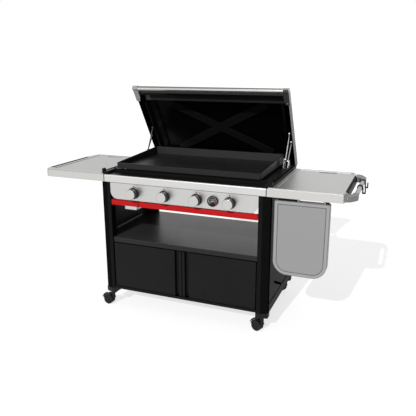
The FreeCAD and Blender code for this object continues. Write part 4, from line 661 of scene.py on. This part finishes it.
# %% Dress the nodes
finishes = {
    "painted_black": painted_black, "shelf_black": shelf_black, "stainless": table_steel,
    "bright_stainless": bar_steel, "cast_grey": cast_grey, "red_paint": red_paint, "seasoned_steel": seasoned,
    "porcelain_black": enamel, "zinc_steel": zinc, "galvanised": galvanised, "foil": foil, "brass": brass,
    "black_plastic": black_plastic, "grey_plastic": grey_plastic, "wheel_rubber": rubber,
    "needle_white": needle_white, "board_silver": board_silver,
}
own_finish = {
    "control_panel": panel_steel, "door_left": door_black, "door_right": door_black, "handle_bar": handle_steel,
    "burners": burner_steel, "firebox": firebox_enamel, "lid_liner": liner_enamel,
    "lid_handle_brackets": lid_cast, "side_panel_left": side_black, "side_panel_right": matt_black,
    "legs": leg_black, "front_arms": link_steel, "rear_arms": link_steel, "arm_brackets": bracket_steel,
}
for number, cap in enumerate(knob_caps, 1):
    own_finish["knob_cap_%d" % number] = cap
    own_finish["knob_%d" % number] = knob_plastic
slot_of = {part["node"]: part["material_slot"] for part in frame["record"]["subparts"]}
for name, node in nodes.items():
    finish = own_finish.get(name, finishes[slot_of[name]])
    node.data.materials.clear()
    node.data.materials.append(finish.material)
print("dressed", len(nodes), "nodes")

# %% [markdown]
# ## Surfaces from arrays
# What CAD leaves out are small things: pointer marks, screw heads, hub caps and the dial's print. Each is a
# surface given by a grid of points, built as whole arrays. One helper turns a grid into a mesh, and another
# spins a profile round an axis, which is how screws and caps are turned or headed in the first place.

# %% Grid surfaces
def surface(name, grids, body, finish, wrap=False):
    """A mesh of one or more grids of points (rows, columns, 3): each cell is a face, wrapped along columns."""
    points, faces, start = [], [], 0
    for grid in grids:
        rows, columns = grid.shape[:2]
        index = np.arange(rows * columns).reshape(rows, columns) + start
        right = np.roll(index, -1, axis=1) if wrap else index[:, 1:]
        left = index if wrap else index[:, :-1]
        faces.append(np.stack([left[:-1], right[:-1], right[1:], left[1:]], axis=-1).reshape(-1, 4))
        points.append(grid.reshape(-1, 3))
        start += rows * columns
    mesh = bpy.data.meshes.new(name)
    mesh.from_pydata((np.vstack(points) + cart).tolist(), [], np.vstack(faces).tolist())
    mesh.polygons.foreach_set("use_smooth", np.ones(len(mesh.polygons), dtype=bool))
    mesh.validate()
    mesh.materials.append(finish.material)
    piece = bpy.data.objects.new(name, mesh)
    bpy.context.scene.collection.objects.link(piece)
    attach(piece, body)
    print(name, len(mesh.polygons), "faces")


def spun(profile, place, axis, segments=32):
    """A profile of (radius, height) pairs spun round an axis through a place: x = r cos t, y = r sin t."""
    axis = np.array(axis, float) / np.linalg.norm(axis)
    side = np.cross(axis, (0.0, 0.0, 1.0) if abs(axis[2]) < 0.9 else (1.0, 0.0, 0.0))
    side /= np.linalg.norm(side)
    other = np.cross(axis, side)
    turn = np.linspace(0, 2 * np.pi, segments, endpoint=False)
    radius, height = np.array(profile, float).T
    ring = np.cos(turn)[:, None] * side + np.sin(turn)[:, None] * other
    return np.array(place) + radius[:, None, None] * ring + height[:, None, None] * axis

# %% [markdown]
# ## Pointer marks
# Above each knob a small red mark shows where it is off. On the real panel it is a drop of enamel in a pressed
# dimple, so here it is a low, slightly domed pad.

# %% Red marks
panel_face, off_face = -0.3185, 0.00002
mark_z, mark_left = 0.8195, 0.003     # height, and how far left of the knob's middle
mark_width, mark_height, mark_rise = 0.0062, 0.0075, 0.0007


def pad(x, y, z, width, height, rise):
    """A pad whose height falls off as (1 - a^4)(1 - b^4) towards its edges."""
    a, b = np.meshgrid(np.linspace(-1, 1, 9), np.linspace(-1, 1, 9))
    lift = rise * (1 - a ** 4) * (1 - b ** 4)
    return np.stack([x + a * width / 2, y - lift, z + b * height / 2], axis=-1)


marks = [pad(x - mark_left, panel_face - off_face, mark_z, mark_width, mark_height, mark_rise) for x in knob_x]
surface("pointer_marks", marks, "cart", red_paint)

# %% [markdown]
# ## Screw heads
# Button-head screws hold the handle brackets to the tables and the lid's brackets to its rim. The head is a low
# dome with a round socket in it.

# %% Screws
screw_steel = plain_metal("screw steel", (0.34, 0.34, 0.345), (0.22, 0.22, 0.225), 0.32, 500.0, 0.00001)


def button_head(place, axis, size):
    """Dome of the given radius: the height goes as the root of 1 - r squared, then down into a socket."""
    rim, socket = (size, -0.0004), [(size * 0.44, size * 0.12), (0.0, size * 0.10)]
    dome = [(size * r, size * 0.42 * math.sqrt(1 - (0.92 * r) ** 2)) for r in np.linspace(1.0, 0.45, 7)]
    return spun([rim, *dome, *socket], place, axis, 24)


handle_screws = [button_head((0.936, -0.3168, 0.857), (0, -1, 0), 0.0044),
                 button_head((0.930, 0.2682, 0.857), (0, 1, 0), 0.0045)]
surface("handle_screws", handle_screws, "cart", screw_steel, wrap=True)

# %% [markdown]
# ## Screws in the lid
# They sit on the front of the lid's rim, so their places and their axis come from the lid's own two distances.

# %% Screws on the lid
lid_screw_x, lid_screw_along, lid_screw_out, lid_screw_size = 0.505, 0.053, -0.0039, 0.0040


def on_lid(x, along, out):
    """A place on the open lid from its own coordinates."""
    return np.array((x, lid_front_y + along * math.cos(open_angle) + out * math.sin(open_angle),
                     lid_front_z - along * math.sin(open_angle) + out * math.cos(open_angle)))


lid_down = on_lid(0, 0, -1) - on_lid(0, 0, 0)
lid_screws = [button_head(on_lid(x, lid_screw_along, lid_screw_out), lid_down, lid_screw_size)
              for x in (-lid_screw_x, lid_screw_x)]
surface("lid_screws", lid_screws, "lid", screw_steel, wrap=True)

# %% [markdown]
# ## Hub caps
# Each wheel has a moulded cap in its recess, a shallow dish with a raised ring round the axle. It is turned with
# the caster: three of them stand 21 degrees off the cart's axis, and the front left one only 3 degrees.

# %% Hub caps
trail, wheel_height = 0.0330, 0.04175
stem_x, stem_y = 0.5, 0.295
cap_shape = [(0.0214, 0.0171), (0.0208, 0.0188), (0.0182, 0.0192), (0.0166, 0.0178), (0.0100, 0.0174),
             (0.0086, 0.0191), (0.0062, 0.0197), (0.0043, 0.0190)]
for corner_name, x, y, turn_by in (("front_left", -stem_x, -stem_y, -3), ("front_right", stem_x, -stem_y, -21),
                                   ("rear_left", -stem_x, stem_y, -21), ("rear_right", stem_x, stem_y, -21)):
    caster_turn = math.radians(turn_by)
    hub = (x - trail * math.cos(caster_turn), y - trail * math.sin(caster_turn), wheel_height)
    axle = np.array((-math.sin(caster_turn), math.cos(caster_turn), 0))
    surface("hub_caps_" + corner_name, [spun(cap_shape, hub, axle), spun(cap_shape, hub, -axle)],
            "wheels_" + corner_name, grey_plastic, wrap=True)

# %% [markdown]
# ## Thermometer dial
# The dial is printed sheet behind glass: a black ground, a ring of white ticks round three quarters of a turn,
# every fifth one longer, and a red band over the hottest part. The print follows from the angle and the distance
# round the dial's middle.

# %% Where the print goes
dial_middle = (0.202, -0.3250, 0.778)
half_sweep, tick_count, ticks_in_long = 132.0, 40, 5
red_from = 82.0                       # degrees clockwise from the top
tick_inner, long_tick_inner, tick_outer, soft = 0.0205, 0.0170, 0.0235, 0.0003
arc_radii, red_radii = (0.0236, 0.0254), (0.0228, 0.0264)

dial = Finish("dial print")
across, upward, distance = round_spot(dial, dial_middle[0], dial_middle[2])
clock = across.math("ARCTAN2", upward) * (180 / math.pi)
tick_angle = (clock + half_sweep) / (2 * half_sweep / tick_count)
beside = abs(tick_angle.math("FRACT") - 0.5)
beside_long = abs((tick_angle / ticks_in_long).math("FRACT") - 0.5)
on_scale = dial.within(clock, -half_sweep - 1.0, half_sweep + 1.0, 0.5)
short_tick = dial.between(beside, 0.36, 0.42) * dial.within(distance, tick_inner, tick_outer, soft)
long_tick = dial.between(beside_long, 0.460, 0.478) * dial.within(distance, long_tick_inner, tick_outer, soft)
white_arc = dial.within(clock, -half_sweep - 1.0, red_from, 1.0) * dial.within(distance, *arc_radii, soft)
red_band = dial.within(clock, red_from, half_sweep + 1.0, 1.0) * dial.within(distance, *red_radii, soft)
white = (short_tick.math("MAXIMUM", long_tick) * on_scale).math("MAXIMUM", white_arc)
print("a tick every", 2 * half_sweep / tick_count, "degrees")

# %% [markdown]
# ## The dial's sheet
# The sheet itself is a flat disc with a hole for the needle's spindle. Its ink is a little uneven, and duller
# than the glass before it.

# %% Dial sheet
printed = dial.noise(2500.0, 2.0, 0.6)
dial.paint(dial.mixed(printed, (0.008, 0.008, 0.0085), (0.012, 0.012, 0.0125)))
dial.cover(white, (0.58, 0.58, 0.57))
dial.cover(red_band, (0.55, 0.02, 0.02))
dial.roughen(printed, 0.45, 0.6)
dial.feed(Specular_IOR_Level=0.2)
sheet = spun([(radius, 0.0) for radius in (0.0268, 0.0180, 0.0090, 0.0018)], dial_middle, (0, -1, 0), 64)
surface("dial_face", [sheet], "cart", dial, wrap=True)

# %% [markdown]
# ## Dial numbers
# Four plain numbers stand inside the ticks. Text is the quickest way to their outlines: each becomes a mesh, and
# its points are then laid on the sheet as an array, upright and a fifth of a millimetre before it. The four are
# joined to one piece in the end, as they are one print.

# %% Outlines of the numbers
number_ring, number_size, ink_front = 0.0108, 0.0092, -0.0002
long_tick_step = 2 * half_sweep * ticks_in_long / tick_count
ink_white = moulded("dial white", (0.52, 0.52, 0.51), (0.58, 0.58, 0.57), 0.45, 0.2, 2500.0, 0.000005)
digits = []
for step in range(1, 8, 2):
    angle = math.radians(step * long_tick_step - half_sweep)
    text = bpy.data.curves.new("digits", "FONT")
    text.body, text.size, text.align_x, text.align_y = str(step * 50 + 50), number_size, "CENTER", "CENTER"
    flat = bpy.data.objects.new("digits", text)
    bpy.context.scene.collection.objects.link(flat)
    bpy.context.view_layer.update()
    cut_out = bpy.data.meshes.new_from_object(flat.evaluated_get(bpy.context.evaluated_depsgraph_get()))
    bpy.data.objects.remove(flat)
    shape = np.empty(len(cut_out.vertices) * 3)
    cut_out.vertices.foreach_get("co", shape)
    right, up, _ = shape.reshape(-1, 3).T
    laid = np.stack([right + number_ring * math.sin(angle), np.full(len(right), ink_front),
                     up + number_ring * math.cos(angle)], axis=-1) + dial_middle + cart
    digits.append((laid, [list(p.vertices) for p in cut_out.polygons]))
print("outlines of", len(digits), "numbers")

# %% One piece for the numbers
starts = np.cumsum([0] + [len(laid) for laid, _ in digits])
number_faces = [[v + int(start) for v in face] for start, (_, faces) in zip(starts, digits) for face in faces]
number_mesh = bpy.data.meshes.new("dial_numbers")
number_mesh.from_pydata(np.vstack([laid for laid, _ in digits]).tolist(), [], number_faces)
number_mesh.materials.append(ink_white.material)
numbers = bpy.data.objects.new("dial_numbers", number_mesh)
bpy.context.scene.collection.objects.link(numbers)
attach(numbers, "cart")
print("dial numbers", len(number_mesh.polygons), "faces")

# %% [markdown]
# ## Floor
# A product picture stands on white paper. Here it is a large disc of light grey. It glows for the camera and in
# reflections only, just enough to reach white where the lamp falls on it, so the shadow stays pale and its glow
# adds no light to the object.

# %% Floor
paper_radius, paper_corners, paper_grey, paper_glow = 40.0, 96, 0.43, 0.72

floor_mesh = bpy.data.meshes.new("floor")
turns = np.linspace(0, 2 * np.pi, paper_corners, endpoint=False)
rim = np.column_stack([paper_radius * np.cos(turns), paper_radius * np.sin(turns), np.zeros(paper_corners)])
floor_mesh.from_pydata(rim.tolist(), [], [list(range(paper_corners))])
floor = bpy.data.objects.new("floor", floor_mesh)
bpy.context.scene.collection.objects.link(floor)


def looked_at(recipe):
    """One for rays from the camera, and for those that a shiny or clear surface sends on; nothing for others."""
    rays = recipe.tree.nodes.new("ShaderNodeLightPath")
    from_camera, glossy, through = (Value(recipe, rays.outputs["Is %s Ray" % kind])
                                    for kind in ("Camera", "Glossy", "Transmission"))
    return (from_camera + glossy + through).math("MINIMUM", 1.0)


paper = Finish("white paper")
paper.feed(Base_Color=(paper_grey,) * 3, Roughness=0.9, Specular_IOR_Level=0.0)
glow = paper.node("ShaderNodeEmission", {}, Strength=looked_at(paper) * paper_glow)
both = paper.node("ShaderNodeAddShader", {}, Value(paper, paper.shader.outputs[0]), glow)
paper.connect(paper.tree.nodes["Material Output"].inputs["Surface"], both)
floor_mesh.materials.append(paper.material)
print("paper", 2 * paper_radius, "m across")

# %% [markdown]
# ## Sky and lamp
# The studio's walls light the object softly from everywhere, and look white in the picture and in the steel. One
# lamp stands before it, low enough to throw the shadow backwards. It is a sun, whose light is the same all over,
# and it shines along its own downward axis, which is tipped and turned to the way that the light travels.

# %% Sky and lamp
sky_light, lamp_strength, lamp_width_deg = 0.42, 2.2, 1
travel = np.array([0.15, 1.52, -1.0])
travel /= np.linalg.norm(travel)

world = bpy.data.worlds.new("studio")
bpy.context.scene.world = world
world.use_nodes = True
sky = Recipe(world.node_tree)
background = sky.tree.nodes["Background"]
sky.connect(background.inputs["Color"], (1.0, 1.0, 1.0))
sky.connect(background.inputs["Strength"], sky.between(looked_at(sky), 0.0, 1.0, sky_light, 1.0))

lamp = bpy.data.objects.new("lamp", bpy.data.lights.new("lamp", "SUN"))
bpy.context.scene.collection.objects.link(lamp)
lamp.data.energy = lamp_strength
lamp.data.angle = math.radians(lamp_width_deg)
lamp.rotation_euler = (math.acos(-travel[2]), 0, math.atan2(travel[0], -travel[1]) + math.pi)
print("lamp shines along", travel.round(2))
